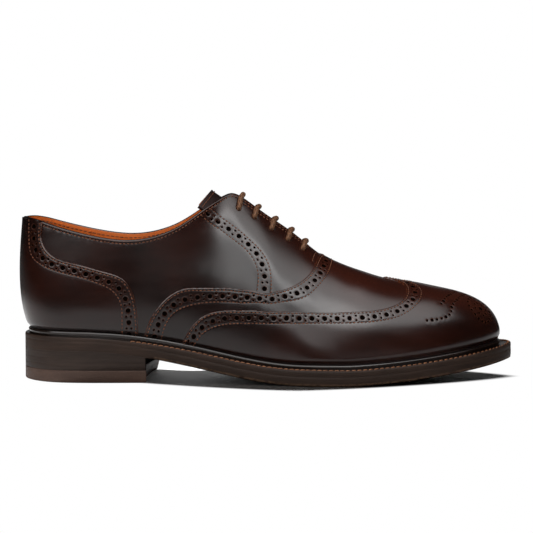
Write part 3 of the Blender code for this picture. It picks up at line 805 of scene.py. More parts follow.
def fill_sheet(loops, lines=(), holes=(), spacing=2.2 * MM):
    """Triangles on the pattern; gives places, triangles, and the numbers along each loop and hole rim."""
    rims, outers = hole_rings(holes) if holes else ([], [])
    points, edges, numbers = [], [], []
    closed = [*loops, *rims, *outers]
    for line in closed + list(lines):
        first = sum(map(len, points))
        chain = list(range(first, first + len(line)))
        edges += list(zip(chain, chain[1:]))
        if len(points) < len(closed):
            edges.append((chain[-1], chain[0]))
        points.append(line)
        numbers.append(chain)
    fixed = np.concatenate(points)
    low, high = fixed.min(0), fixed.max(0)
    xs = np.arange(low[0], high[0], spacing)
    ys = np.arange(low[1], high[1], spacing * 0.866)
    grid = np.array([(x + (k % 2) * spacing / 2, y) for k, y in enumerate(ys) for x in xs])
    grid = grid[inside(grid, loops)]
    grid = grid[nearest(tree_of(fixed), grid)[1] > 0.6 * spacing]
    given = np.concatenate([fixed, grid])
    found = delaunay_2d_cdt([Vector(point / MM) for point in given], edges, [], 0, 1e-5)
    places = np.array([point[:] for point in found[0]]) * MM
    triangles = np.array([face[:3] for face in found[2]])
    renamed = {}
    for new, olds in enumerate(found[3]):
        for old in olds:
            renamed[old] = new
    keep = inside(places[triangles].mean(1), loops)
    owner = np.full(len(places), -1)
    chains = [[renamed[old] for old in chain] for chain in numbers]
    rim_chains = chains[len(loops):len(loops) + len(rims)]
    for number, chain in enumerate(rim_chains):
        owner[chain] = number
    owners = owner[triangles]
    keep &= ~((owners[:, 0] >= 0) & (owners[:, 0] == owners[:, 1]) & (owners[:, 0] == owners[:, 2]))
    triangles = triangles[keep]
    a, b, c = (places[triangles[:, k]] for k in range(3))
    area = (b - a)[:, 0] * (c - a)[:, 1] - (b - a)[:, 1] * (c - a)[:, 0]
    triangles[area < 0] = triangles[area < 0][:, ::-1]
    return places, triangles, chains[:len(loops)], rim_chains


# %% [markdown]
# ## Height of the leather
# The panels are layers: base leather first, then counter and vamp, then the wing on top. Near the welt they
# thin out, as skived leather does. Edges are rounded, leather dips under each stitch row and at hole rims,
# and a few soft swells lie where leather was drawn over the last.

# %% Soft swells
SWELLS = (
    # row, up at both ends; half width and height in millimetres
    ((6.0, 0.66), (7.2, 0.54), 6.0, 0.30),
    ((5.3, 0.52), (6.6, 0.60), 4.0, -0.22),
    ((12.4, 0.62), (12.9, 0.92), 4.0, -0.22),
    ((12.9, 0.60), (13.35, 0.94), 4.5, 0.18),
    ((10.6, 0.46), (11.3, 0.40), 5.0, 0.20),
    ((3.2, 0.40), (4.4, 0.34), 8.0, 0.25),
    ((9.4, 0.11), (11.8, 0.11), 8.0, 0.35),
)


def swell(points):
    height = np.zeros(len(points))
    for side in SIDES:
        for start, end, half_width, rise in SWELLS:
            a, b = to_flat(side, *start), to_flat(side, *end)
            share = np.clip((points - a) @ (b - a) / ((b - a) @ (b - a)), 0, 1)
            off = np.linalg.norm(points - a - share[:, None] * (b - a), axis=1) / (half_width * MM)
            fade = 0.4 + 0.6 * np.sin(math.pi * np.clip(share, 0.05, 0.95))
            height += rise * MM * fade * np.exp(-off ** 2)
    return height


# %% Panel heights
EDGE_ROUNDING = 0.8 * MM
ROW_DIP, ROW_DIP_REACH = 0.13 * MM, 0.42 * MM
RIM_DIP, RIM_DIP_REACH = 0.09 * MM, 0.2 * MM


class Layer:
    """What is needed to know the height of one panel anywhere on it."""

    def __init__(self, thickness, raised, rows, holes):
        self.thickness = thickness
        self.covers = []
        self.raised = tree_of(on_leather(np.concatenate(raised))) if raised else None
        self.rows = tree_of(on_leather(np.concatenate(rows))) if rows else None
        self.holes = tree_of(on_leather(np.array([place for place, _ in holes]))) if holes else None
        self.radii = np.array([radius for _, radius in holes])

    def measure(self, points):
        """Height, and distances to the raised edge, the stitch rows and the hole rims."""
        side, row, up = from_flat(points)
        bare = upper_point(side, row, up)
        above = (bare - section(side, row)[0])[:, 2] / MM
        skived = 0.15 + 0.85 * np.clip((above - 3.5) / 6, 0, 1)
        far = np.full(len(points), 0.05)
        edge = nearest(self.raised, bare)[1] if self.raised else far
        rows = nearest(self.rows, bare)[1] if self.rows else far
        if self.holes:
            number, rim = nearest(self.holes, bare)
            rim = np.maximum(rim - self.radii[number], 0)
        else:
            rim = far
        rounding = np.sqrt(np.clip(1 - (1 - np.clip(edge / EDGE_ROUNDING, 0, 1)) ** 2, 0, 1))
        height = self.thickness * skived * (0.2 + 0.8 * rounding)
        height -= ROW_DIP * np.exp(-(rows / ROW_DIP_REACH) ** 2)
        height -= RIM_DIP * np.exp(-(rim / RIM_DIP_REACH) ** 2)
        deep = np.clip((above - 1.0) / 3, 0, 1)
        for outline, tree, sink in self.covers:
            under = np.clip((nearest(tree, bare)[1] / MM - 1.2) / 1.5, 0, 1)
            height -= sink * under * deep * inside(points, [outline])
        return height + swell(points), edge, rows, rim


LAYERS = {}
for name, thickness in zip(PANELS, (0.0, 0.95 * MM, 0.9 * MM, 1.75 * MM)):
    raised = [LINES[name, side] for side in SIDES] if name in EDGES else []
    LAYERS[name] = Layer(thickness, raised, STITCH_ROWS[name], HOLES[name])
print("layers", list(LAYERS))

# %% [markdown]
# ## Leather finishes
# The upper is dark brown calf with a burnished finish: nearly black, red-brown where it was rubbed and where
# it faces up, and very smooth. Painted shade darkens it along the stitch rows and just above the welt. Grain,
# patina, and a line for wear and painted light, are node groups, so that tongue, upper and welt share them.

# %% Grain and patina groups
FLOAT = "NodeSocketFloat"


def node_group(name, inputs, outputs):
    """Empty shader group of plain numbers, with the nodes of its inputs and its outputs."""
    tree = bpy.data.node_groups.new(name, "ShaderNodeTree")
    for label, value in inputs.items():
        tree.interface.new_socket(label, in_out="INPUT", socket_type=FLOAT).default_value = value
    for label in outputs:
        tree.interface.new_socket(label, in_out="OUTPUT", socket_type=FLOAT)
    return tree, tree.nodes.new("NodeGroupInput"), tree.nodes.new("NodeGroupOutput")


grain, entry, exit_ = node_group(
    "leather grain", {"Cells per metre": 1400.0, "Pores per metre": 500.0}, ("Height", "Pores"))
place = object_place(grain)
cells = add_node(grain, "ShaderNodeTexVoronoi", {"feature": "F1"}, Vector=place, Scale=entry.outputs[0])
fine = add_node(grain, "ShaderNodeTexNoise", Vector=place, Scale=entry.outputs[1], Detail=4.0, Roughness=0.6)
height = maths(grain, "ADD", maths(grain, "MULTIPLY", cells.outputs["Distance"], 0.5), fine.outputs[0])
grain.links.new(height, exit_.inputs[0])
grain.links.new(ramp(grain, fine.outputs[0], 0.55, 0.72), exit_.inputs[1])

patina, entry, exit_ = node_group("burnished patina", {"Size": 16.0}, ("Rubbed", "Cloud"))
place = object_place(patina)
broad = add_node(
    patina, "ShaderNodeTexNoise", Vector=place, Scale=entry.outputs[0], Detail=3.0, Roughness=0.5)
streak_place = add_node(patina, "ShaderNodeMapping", Vector=place, Scale=(0.35, 1.0, 1.6)).outputs[0]
streak = add_node(patina, "ShaderNodeTexNoise", Vector=streak_place, Scale=90.0, Detail=5.0, Roughness=0.65)
patina.links.new(ramp(patina, broad.outputs[0], 0.42, 0.66), exit_.inputs[0])
patina.links.new(streak.outputs[0], exit_.inputs[1])

# This line carries real edge wear on the upper, and also painted shade along the stitch rows and a painted
# highlight low on the outsole's edge.
edge_wear_and_painted_light, entry, exit_ = node_group("edge wear", {"Distance": 1.0, "Reach": 0.0006}, ("Line",))
broken = add_node(edge_wear_and_painted_light, "ShaderNodeTexNoise", Vector=object_place(edge_wear_and_painted_light), Scale=420.0, Detail=2.0)
share = maths(edge_wear_and_painted_light, "DIVIDE", entry.outputs[0], entry.outputs[1])
line = maths(edge_wear_and_painted_light, "SUBTRACT", 1.0, share, clamp=True)
line = maths(edge_wear_and_painted_light, "MULTIPLY", line, ramp(edge_wear_and_painted_light, broken.outputs[0], 0.3, 0.6))
edge_wear_and_painted_light.links.new(line, exit_.inputs[0])

# %% Upper leather
def group_node(tree, group, **values):
    return add_node(tree, "ShaderNodeGroup", {"node_tree": group}, **values)


def bump(tree, shader, height, distance, strength=1.0):
    node = add_node(tree, "ShaderNodeBump", Strength=strength, Distance=distance, Height=height)
    tree.links.new(node.outputs[0], shader.inputs["Normal"])


def attribute(tree, name):
    return add_node(tree, "ShaderNodeAttribute", {"attribute_name": name}).outputs["Fac"]


def calf_leather(name, dark, rubbed, worn, shine=0.5, matt=0.0):
    """Polished leather; where worn is given, it also shows in the attributes of the punched panels: worn
    edges and hole rims, a lighter tone where the leather faces up, and painted shade along the stitch rows
    and above the welt.
    """
    dark = np.array(dark)
    made, tree, shader = new_material(
        name, Coat_Weight=0.16 * shine, Coat_Roughness=0.14, Specular_IOR_Level=shine)
    polish = group_node(tree, patina)
    skin = group_node(tree, grain)
    share = maths(tree, "MULTIPLY", polish.outputs["Rubbed"], 0.3)
    cloud = ramp(tree, polish.outputs["Cloud"], 0.3, 0.75)
    share = maths(tree, "ADD", share, maths(tree, "MULTIPLY", cloud, 0.1))
    rough = ramp(tree, polish.outputs["Cloud"], 0.25, 0.8, 0.19 + matt, 0.28 + matt, "LINEAR")
    if worn:
        upturned = ramp(tree, attribute(tree, "upturned"), 0.4, 0.95)
        share = maths(tree, "ADD", share, maths(tree, "MULTIPLY", upturned, 0.75), clamp=True)
    colour = blend_colours(tree, share, dark, rubbed)
    if worn:
        wear_and_painted_light = group_node(tree, edge_wear_and_painted_light, Distance=attribute(tree, "edge"))
        stitch_row_shade = group_node(tree, edge_wear_and_painted_light, Distance=attribute(tree, "rows"), Reach=0.0009)
        punched = group_node(tree, edge_wear_and_painted_light, Distance=attribute(tree, "rims"), Reach=0.0005)
        # Painted shade: along the stitch rows the leather is darkened to nearly black, for the shade in their
        # grooves and needle holes.
        shade = maths(tree, "MULTIPLY", stitch_row_shade.outputs["Line"], 0.9)
        colour = blend_colours(tree, shade, colour, 0.2 * dark)
        colour = blend_colours(tree, maths(tree, "MULTIPLY", wear_and_painted_light.outputs["Line"], 0.8), colour, worn)
        rim = maths(tree, "MULTIPLY", punched.outputs["Line"], 0.45)
        colour = blend_colours(tree, rim, colour, worn)
        # Painted shade: a band just above the welt's lip is darkened to nearly black and roughened, for the
        # shade between the leather and the lip.
        seam = maths(tree, "SUBTRACT", 1.0, ramp(tree, attribute(tree, "seam"), -0.1, 1.0))
        colour = blend_colours(tree, maths(tree, "MULTIPLY", seam, 0.85), colour, 0.3 * dark)
        rough = maths(tree, "ADD", rough, maths(tree, "MULTIPLY", seam, 0.45))
    tree.links.new(colour, shader.inputs["Base Color"])
    tree.links.new(rough, shader.inputs["Roughness"])
    bump(tree, shader, skin.outputs["Height"], 0.000018, 0.6)
    return made


CALF_TONES = (0.0052, 0.0013, 0.0007), (0.034, 0.0068, 0.0031)
CALF = calf_leather("brown calf", *CALF_TONES, (0.13, 0.037, 0.015))
PLAIN_CALF = calf_leather("brown calf, dull", *CALF_TONES, None, 0.25, 0.25)
print("finishes", CALF.name, "and", PLAIN_CALF.name)

# %% Cut leather, lining and thread
def raw_leather(name, dark, light, scale, roughness, depth, shine=0.3):
    made, tree, shader = new_material(name, roughness, Specular_IOR_Level=shine)
    polish = group_node(tree, patina, Size=scale)
    skin = group_node(tree, grain, Cells_per_metre=900.0)
    colour = blend_colours(tree, ramp(tree, polish.outputs["Cloud"], 0.3, 0.7), dark, light)
    pores = maths(tree, "MULTIPLY", skin.outputs["Pores"], 0.3)
    colour = blend_colours(tree, pores, colour, 0.5 * np.array(dark))
    tree.links.new(colour, shader.inputs["Base Color"])
    bump(tree, shader, skin.outputs["Height"], depth, 0.6)
    return made


# Painted shade: the walls and floors of the punched holes are near black and give no reflection, for the
# shade inside a hole.
HOLE_PAINTED_SHADE = raw_leather(
    "hole walls, painted shade", (0.0016, 0.0010, 0.0008), (0.004, 0.002, 0.0015), 60.0, 1.0, 0.0001, 0.0)
LINING = raw_leather("tan lining", (0.50, 0.105, 0.015), (0.62, 0.15, 0.026), 20.0, 0.6, 0.0001)


def thread_material(name, colour, light):
    made, tree, shader = new_material(name, 0.55, Specular_IOR_Level=0.35)
    twist = add_node(tree, "ShaderNodeTexNoise", Vector=object_place(tree), Scale=900.0, Detail=2.0)
    tone = blend_colours(tree, ramp(tree, twist.outputs[0], 0.35, 0.65), colour, light)
    tree.links.new(tone, shader.inputs["Base Color"])
    bump(tree, shader, twist.outputs[0], 0.0001, 0.8)
    return made


THREAD = thread_material("brown thread", (0.07, 0.020, 0.008), (0.17, 0.055, 0.022))
WELT_THREAD = thread_material("welt thread", (0.13, 0.048, 0.020), (0.27, 0.11, 0.048))

# %% [markdown]
# ## Making pieces
# Two helpers turn arrays into pieces. One takes ready points and faces, for the sheets and the stitches. The
# other starts from Blender's own grid primitive, moves its points to a net of places, and closes its seams
# in edit mode; that suits everything that is lofted, such as the sole, the heel and the laces.

# %% Piece helpers
def belongs(piece, slot, *nodes):
    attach(piece, "root")
    if nodes:
        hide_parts(*nodes)


def smooth_by_angle(piece, degrees):
    bpy.ops.object.select_all(action="DESELECT")
    piece.select_set(True)
    bpy.context.view_layer.objects.active = piece
    bpy.ops.object.shade_smooth_by_angle(angle=math.radians(degrees))


def piece_from_arrays(name, points, faces, materials, finish=None, degrees=50, **values):
    mesh = bpy.data.meshes.new(name)
    mesh.from_pydata((np.asarray(points) + SHIFT).tolist(), [], [list(map(int, face)) for face in faces])
    for made in materials:
        mesh.materials.append(made)
    if finish is not None:
        mesh.polygons.foreach_set("material_index", np.asarray(finish, np.int32))
    for label, numbers in values.items():
        layer = mesh.attributes.new(label, "FLOAT", "POINT")
        layer.data.foreach_set("value", np.asarray(numbers, np.float32))
    mesh.validate()
    piece = bpy.data.objects.new(name, mesh)
    bpy.context.collection.objects.link(piece)
    smooth_by_angle(piece, degrees)
    print(name, len(mesh.vertices), "points", len(mesh.polygons), "faces")
    return piece


def piece_from_net(name, net, materials, degrees=40, merge=0.01 * MM, **values):
    """A grid primitive whose points are moved to a net of places, with its doubles merged."""
    rings, each = net.shape[:2]
    bpy.ops.object.select_all(action="DESELECT")
    bpy.ops.mesh.primitive_grid_add(x_subdivisions=each - 1, y_subdivisions=rings - 1, size=2)
    piece = bpy.context.object
    piece.name = piece.data.name = name
    piece.data.vertices.foreach_set("co", (net.reshape(-1, 3) + SHIFT).astype(np.float32).ravel())
    for label, numbers in values.items():
        layer = piece.data.attributes.new(label, "FLOAT", "POINT")
        layer.data.foreach_set("value", np.asarray(numbers, np.float32).ravel())
    bpy.ops.object.mode_set(mode="EDIT")
    bpy.ops.mesh.select_all(action="SELECT")
    bpy.ops.mesh.remove_doubles(threshold=merge)
    bpy.ops.mesh.dissolve_degenerate(threshold=merge)
    bpy.ops.mesh.select_all(action="SELECT")
    bpy.ops.mesh.normals_make_consistent(inside=False)
    bpy.ops.object.mode_set(mode="OBJECT")
    for made in materials:
        piece.data.materials.append(made)
    smooth_by_angle(piece, degrees)
    print(name, len(piece.data.vertices), "points", len(piece.data.polygons), "faces")
    return piece


# %% [markdown]
# ## The base of the upper
# Quarters, facings and lining are one closed shell: the outer leather, a rounded top line and lace edge, and
# the tan lining inside. Two sheets with the same outline make its faces, and short rings join them.

# %% Outline of the base
outline_rows = np.arange(0, LAST_ROW + 1e-6, 0.125)
feather = np.concatenate([
    to_flat(LATERAL, outline_rows, 0.0), to_flat(MEDIAL, outline_rows[-2:0:-1], 0.0)])
collar_rows = np.concatenate([np.arange(THROAT_ROW, 0, -0.1), [0.0]])
collar_side = np.concatenate([np.full(len(collar_rows), LATERAL), np.full(len(collar_rows) - 2, MEDIAL)])
collar_row = np.concatenate([collar_rows, collar_rows[-2:0:-1]])
collar = to_flat(collar_side, collar_row, 1.0)
print("feather edge", len(feather), "points, collar", len(collar))

# %% Outlines of the panels
EDGE_STEP = 1.3 * MM


def feather_part(side, start, end):
    rows = np.linspace(start, end, max(2, int(abs(end - start) / 0.12)))
    return to_flat(side, rows, 0.0)


def toe_outline(name):
    """Outline of a panel that wraps the toe: its edge on both sides, and the feather edge between."""
    lateral, medial = (even(LINES[name, side], EDGE_STEP) for side in SIDES)
    start = EDGES[name][0][0]
    front = np.concatenate([
        feather_part(LATERAL, start, LAST_ROW), feather_part(MEDIAL, LAST_ROW, start)[1:]])
    return np.concatenate([lateral[::-1], front[1:-1], medial[:-1]])


def heel_outline_on_pattern():
    lateral, medial = (even(LINES["counter", side], EDGE_STEP) for side in SIDES)
    low, high = EDGES["counter"][-1][0], EDGES["counter"][0][0]
    bottom = np.concatenate([feather_part(LATERAL, low, 0), feather_part(MEDIAL, 0, low)[1:]])
    rows = np.linspace(high, 0, 20)
    top = np.concatenate([to_flat(MEDIAL, rows, 1.0), to_flat(LATERAL, rows[::-1], 1.0)[1:]])
    return np.concatenate([lateral, bottom[1:-1], medial[::-1], top[1:-1]])


OUTLINES = {"counter": heel_outline_on_pattern(), "vamp": toe_outline("vamp"), "wing": toe_outline("wing")}

# %% Eyelets and the stitch rows of the top line
EYELET_ROWS = (9.06, 9.68, 10.25, 10.78, 11.28)
EYELET_INSET = 10 * MM
EYELET_RADIUS = 1.75 * MM


def below_top(side, row, distance):
    """How far up its section a place lies that is a distance below the top edge."""
    ups = np.linspace(0.5, 1, 201)
    line = upper_point(side, np.full_like(ups, row), ups)
    return float(np.interp(distance, run_length(line[::-1]), ups[::-1]))


for side in SIDES:
    for row in EYELET_ROWS:
        HOLES["base"].append((to_flat(side, row, below_top(side, row, EYELET_INSET)), EYELET_RADIUS))
    for start, distance in ((0.02, 1.7 * MM), (9.3, 4.2 * MM)):
        rows = np.arange(start, 11.7, 0.08)
        ups = np.array([below_top(side, row, distance) for row in rows])
        STITCH_ROWS["base"].append(to_flat(side, rows, ups))
    short_row = to_flat(side, np.array([11.55, 11.78]), np.array([0.755, 0.95]))
    STITCH_ROWS["base"].append(spline_line(short_row))
LAYERS["base"] = Layer(0.0, [collar], STITCH_ROWS["base"], HOLES["base"])
COVERS = (("counter", "base", 1.1), ("vamp", "base", 1.1), ("wing", "vamp", 1.45))
for name, covered, sink in COVERS:
    LAYERS[covered].covers.append((OUTLINES[name], LAYERS[name].raised, sink * MM))


def cover_lines(name):
    """Lines just inside the edge of each panel that lies on this one, so that only hidden leather sinks."""
    lines = []
    for cover in [cover for cover, covered, _ in COVERS if covered == name]:
        for side in SIDES:
            line = even(LINES[cover, side], EDGE_STEP)
            lines += [beside(line, inset * MM, LINES[cover, "far", side])[2:-2] for inset in (0.1, 1.1)]
    return lines


# %% Build the base
PIT_DEPTH = {"base": 1.2 * MM, "counter": 0.85 * MM, "vamp": 0.85 * MM, "wing": 0.42 * MM}
UNDERSIDE = {"counter": 1.0 * MM, "vamp": 1.0 * MM, "wing": 0.5 * MM}


def groove_lines(rows, pitch=1.2 * MM):
    """Each stitch row with two lines close by on both sides, to give its groove a shape."""
    lines = []
    for row in rows:
        line = even(row, pitch)
        along = np.gradient(line, axis=0)
        lines += [line] + [moved(line, along, 0, aside * MM) for aside in (0.42, 0.95, -0.42, -0.95)]
    return lines


def tuck_lines():
    """Level lines round the shoe where the leather bends under, above the welt's lip."""
    lines = []
    for side in SIDES:
        rows = np.arange(0.05, LAST_ROW, 0.1)
        ups = np.linspace(0, 0.45, 91)
        curves = upper_point(side, rows[:, None], ups[None, :])
        rise = (curves[..., 2] - curves[:, :1, 2]) / MM
        lip, bend, _ = over_welt(curves[:, 0, 0])
        for share in (-0.3, 0, 0.2, 0.4, 0.6, 0.8, 1.0, 1.3):
            at = [np.interp(height, line, ups) for height, line in zip(lip + share * bend, rise)]
            lines.append(to_flat(side, rows, np.array(at)))
    return lines


TUCK_LINES = tuck_lines()


def kept_parts(line, keep):
    """The unbroken parts of a line, of two points or more, where keep is true."""
    parts = np.split(np.arange(len(line)), np.flatnonzero(np.diff(keep)) + 1)
    return [line[part] for part in parts if len(part) > 1 and keep[part[0]]]


def clear_of_holes(lines, layer):
    """The parts of flat lines that keep off the hole rims."""
    parts = []
    for line in lines:
        number, gap = nearest(layer.holes, on_leather(line))
        parts += kept_parts(line, gap > layer.radii[number] + 0.5 * MM)
    return parts


def pad_values(values, count, **others):
    """Give points that were added later a value too: nought, or what others says."""
    for label, numbers in values.items():
        spare = np.full(count - len(numbers), others.get(label, 0.0))
        values[label] = np.concatenate([numbers, spare])


def leather_face(name, loops, lines):
    """Outer face of a panel with its pits: points, faces, finishes, attributes and loop numbers."""
    layer = LAYERS[name]
    places, triangles, loop_numbers, rims = fill_sheet(loops, clear_of_holes(lines, layer), HOLES[name])
    height, edge, rows, rim = layer.measure(places)
    side, row, up = from_flat(places)
    upturned = np.clip(upper_normal(side, row, up)[:, 2], 0, 1)
    foot = section(side, row)[0]
    # Height above the welt's lip as a share of the band of painted shade; the leather's material darkens it.
    lip, _, reach = over_welt(foot[:, 0])
    seam = ((upper_point(side, row, up) - foot)[:, 2] / MM - lip) / reach
    points = list(upper_layer(side, row, up, height))
    faces = [tuple(triangle) for triangle in triangles]
    finish = [0] * len(faces)
    # Each hole becomes a shallow pit whose walls and floor take the second material, painted shade.
    for numbers, (centre, radius) in zip(rims, HOLES[name]):
        depth = PIT_DEPTH[name] * (1.6 if radius > BIG_HOLE else 1)
        ring = np.array([points[n] for n in numbers])
        middle = on_leather(centre[None], swell(centre[None]))[0]
        normal = stretch(centre[None])[1][0]
        floor_ring = middle + 0.86 * (ring - ring.mean(0)) + (ring.mean(0) - middle) - depth * normal
        first = len(points)
        points += list(floor_ring) + [floor_ring.mean(0)]
        count = len(numbers)
        for k in range(count):
            after = (k + 1) % count
            faces.append((numbers[k], numbers[after], first + after, first + k))
            faces.append((first + k, first + after, first + count))
        finish += [1] * (2 * count)
    values = {"edge": edge, "rows": rows, "rims": rim, "upturned": upturned, "seam": seam}
    pad_values(values, len(points))
    return points, faces, finish, values, loop_numbers


def join_rings(faces, finish, first, second, material):
    """Quads from one closed ring of point numbers to the next."""
    for k in range(len(first)):
        after = (k + 1) % len(first)
        faces.append((first[k], first[after], second[after], second[k]))
        finish.append(material)


lines = groove_lines(STITCH_ROWS["base"]) + TUCK_LINES + cover_lines("base")
points, faces, finish, values, loops = leather_face("base", [feather, collar], lines)
outer_count = len(points)
places, triangles, inner_loops, _ = fill_sheet([feather, collar], spacing=3.0 * MM)
points += list(on_leather(places, -UPPER_WALL))
faces += [tuple(outer_count + triangle[::-1]) for triangle in triangles]
finish += [2] * len(triangles)
outer_feather, outer_collar = loops
inner_feather, inner_collar = ([outer_count + n for n in loop] for loop in inner_loops)

# %% Rounded top line
RIM_STEPS = 7
_, by_up = tangents(collar_side, collar_row, np.ones(len(collar_row)))
upward = unit(by_up)
room = np.clip(SHAPE["opening"](collar_row) / 2.4, 0.05, 1)
room = np.where(collar_row < 6, 1, room)[:, None]
outer_ring = np.array([points[n] for n in outer_collar])
inner_ring = np.array([points[n] for n in inner_collar])
rings = [outer_collar]
for step in range(1, RIM_STEPS):
    angle = math.pi * step / RIM_STEPS
    share = (1 - math.cos(angle)) / 2
    ring = outer_ring + share * (inner_ring - outer_ring) + 0.9 * MM * math.sin(angle) * room * upward
    rings.append(list(range(len(points), len(points) + len(ring))))
    points += list(ring)
rings.append(inner_collar)
for number, (first, second) in enumerate(zip(rings, rings[1:])):
    join_rings(faces, finish, second, first, 0 if number < 6 else 2)
join_rings(faces, finish, outer_feather, inner_feather, 2)
pad_values(values, len(points), edge=0.02, rows=0.02, rims=0.02, upturned=0.02, seam=2.0)
base = piece_from_arrays("upper_base", points, faces, [CALF, HOLE_PAINTED_SHADE, LINING], finish, 50, **values)
belongs(base, "upper_leather", "upper")

# %% [markdown]
# ## Counter, vamp and wing
# Three more panels lie on the base. Each is a closed sheet: the punched face on top, a short wall at its
# outline, and a plain underside just inside the layer below.

# %% Panels
def overlay(name):
    outline = [OUTLINES[name]]
    lines = []
    for side in SIDES:
        edge, far = even(LINES[name, side], EDGE_STEP), LINES[name, "far", side]
        lines += [beside(edge, distance * MM, far)[1:-1] for distance in (0.1, 0.3, 0.65)]
    lines += groove_lines(STITCH_ROWS[name]) + cover_lines(name)
    lines = [line[inside(line, outline)] for line in lines]
    lines = [line for line in lines if len(line) > 1]
    border = tree_of(outline[0])
    for line in TUCK_LINES:
        lines += kept_parts(line, inside(line, outline) & (nearest(border, line)[1] > 1.6 * MM))
    points, faces, finish, values, loops = leather_face(name, outline, lines)
    first = len(points)
    places, triangles, under_loops, _ = fill_sheet(outline, spacing=4.5 * MM)
    points += list(on_leather(places, swell(places) - UNDERSIDE[name]))
    faces += [tuple(first + triangle[::-1]) for triangle in triangles]
    finish += [0] * len(triangles)
    for loop, under in zip(loops, under_loops):
        join_rings(faces, finish, [first + n for n in under], loop, 0)
    pad_values(values, len(points))
    piece = piece_from_arrays(f"upper_{name}", points, faces, [CALF, HOLE_PAINTED_SHADE], finish, 50, **values)
    belongs(piece, "upper_leather")


for name in EDGES:
    overlay(name)

# %% [markdown]
# ## Stitches
# Every stitch is a short bead of thread that dips into the leather at both ends. One bead is shaped from a
# few rings, then copied along each row as one joined mesh, because there are more than a thousand of them.

# %% Stitch beads
STITCH_PITCH = 2.4 * MM


def beads(centres, forwards, normals, length, thickness):
    """Points and faces of many stitches: six-sided beads with sunk ends."""
    turns = np.arange(6) * math.pi / 3
    ahead = np.array([-0.5, -0.3, 0.3, 0.5]) * length
    girth = np.array([0.55, 1.0, 1.0, 0.55]) * thickness / 2
    rise = np.array([-0.75, 0.1, 0.1, -0.75]) * thickness / 2
    sides = np.cross(normals, forwards)
    points = (
        centres[:, None, None] + ahead[None, :, None, None] * forwards[:, None, None]
        + (girth[:, None] * np.cos(turns))[None, :, :, None] * sides[:, None, None]
        + (girth[:, None] * np.sin(turns) + rise[:, None])[None, :, :, None] * normals[:, None, None]
    )
    one = []
    for ring in range(3):
        for k in range(6):
            after = (k + 1) % 6
            one.append((6 * ring + k, 6 * ring + after, 6 * ring + 6 + after, 6 * ring + 6 + k))
    one += [(5, 4, 3, 2), (5, 2, 1, 0), (18, 19, 20, 21), (18, 21, 22, 23)]
    count = len(centres)
    faces = [tuple(24 * number + corner for corner in face) for number in range(count) for face in one]
    return points.reshape(-1, 3), faces


def frames_on(points, along, height):
    """Place, direction and normal on the leather for flat points."""
    _, normal, forward = heading(points, along)
    return on_leather(points, height), forward, normal


def thread_piece(name, frames, length, thickness, made, slot):
    centres, forwards, normals = (np.concatenate(part) for part in zip(*frames))
    points, faces = beads(centres, forwards, normals, length, thickness)
    belongs(piece_from_arrays(name, points, faces, [made], degrees=80), slot)


def stitches_along(path, pitch, margin=0.0):
    """Centres an even distance apart along a line in space, and the direction at each."""
    at = run_length(path)
    centres = at_lengths(np.arange(margin, at[-1] - margin, pitch), at, path)
    return centres, unit(np.gradient(centres, axis=0))


frames = []
for name in PANELS:
    for row in STITCH_ROWS[name]:
        line = spaced(row, STITCH_PITCH, 1.0 * MM, 1.0 * MM)
        if len(line) < 3:
            continue
        height = LAYERS[name].measure(line)[0]
        frames.append(frames_on(line, np.gradient(line, axis=0), height + 0.08 * MM))
thread_piece("upper_stitches", frames, 1.65 * MM, 0.66 * MM, THREAD, "upper_leather")

# %% [markdown]
# ## Inside the collar
# The lining is sewn along the top line, and a second piece of it, the heel grip, covers the back inside. That
# piece is a thin closed sheet on the inner face, and the lining's stitches are beads like the outer ones.

# %% Back strip and lining stitches
STRIP_ROW, STRIP_UP, STRIP_THICKNESS = 3.7, 0.45, 0.5 * MM
STRIP_TOP, STRIP_TAPER = 0.988, 0.8

rows = np.linspace(STRIP_ROW, 0, 15)
ups = np.linspace(STRIP_TOP, STRIP_UP, 12)
edge_rows = np.interp(ups, (STRIP_UP, 1), (STRIP_ROW * STRIP_TAPER, STRIP_ROW))
lateral_edge, medial_edge = (to_flat(side, edge_rows, ups) for side in SIDES)
low_rows = rows * STRIP_TAPER
bottom = np.concatenate([to_flat(LATERAL, low_rows, STRIP_UP), to_flat(MEDIAL, low_rows[::-1][1:], STRIP_UP)])
top = np.concatenate([to_flat(MEDIAL, rows, STRIP_TOP), to_flat(LATERAL, rows[::-1][1:], STRIP_TOP)])
outline = np.concatenate([lateral_edge[:-1], bottom[:-1], medial_edge[::-1][:-1], top[:-1]])
places, triangles, (loop,), _ = fill_sheet([outline], spacing=3.0 * MM)
count = len(places)
heights = -UPPER_WALL + 0.3 * MM, -UPPER_WALL - STRIP_THICKNESS
points = np.concatenate([on_leather(places, height) for height in heights])
faces = [tuple(triangle) for triangle in triangles] + [tuple(count + t[::-1]) for t in triangles]
join_rings(faces, [], [count + n for n in loop], loop, 0)
belongs(piece_from_arrays("back_strip", points, faces, [LINING]), "upper_leather")

frames = []
for side in SIDES:
    rows = np.arange(0.02, 8.6, 0.08)
    line = to_flat(side, rows, np.array([below_top(side, row, 2.0 * MM) for row in rows]))
    line = spaced(line, 3.0 * MM)
    depth = np.where(from_flat(line)[1] < STRIP_ROW, -UPPER_WALL - STRIP_THICKNESS, -UPPER_WALL)
    centres, forwards, normals = frames_on(line, np.gradient(line, axis=0), depth - 0.05 * MM)
    frames.append((centres, forwards, -normals))
thread_piece("lining_stitches", frames, 2.3 * MM, 0.5 * MM, THREAD, "upper_leather")

# %% [markdown]
# ## The welt
# The welt is a leather strip sewn round the upper. A lip stands up against the leather and hides the seam,
# a ledge carries the outsole stitches, and its outer edge is trimmed flush with the outsole. One profile
# is swept round the shoe, and it follows the margin between the upper and the sole edge.

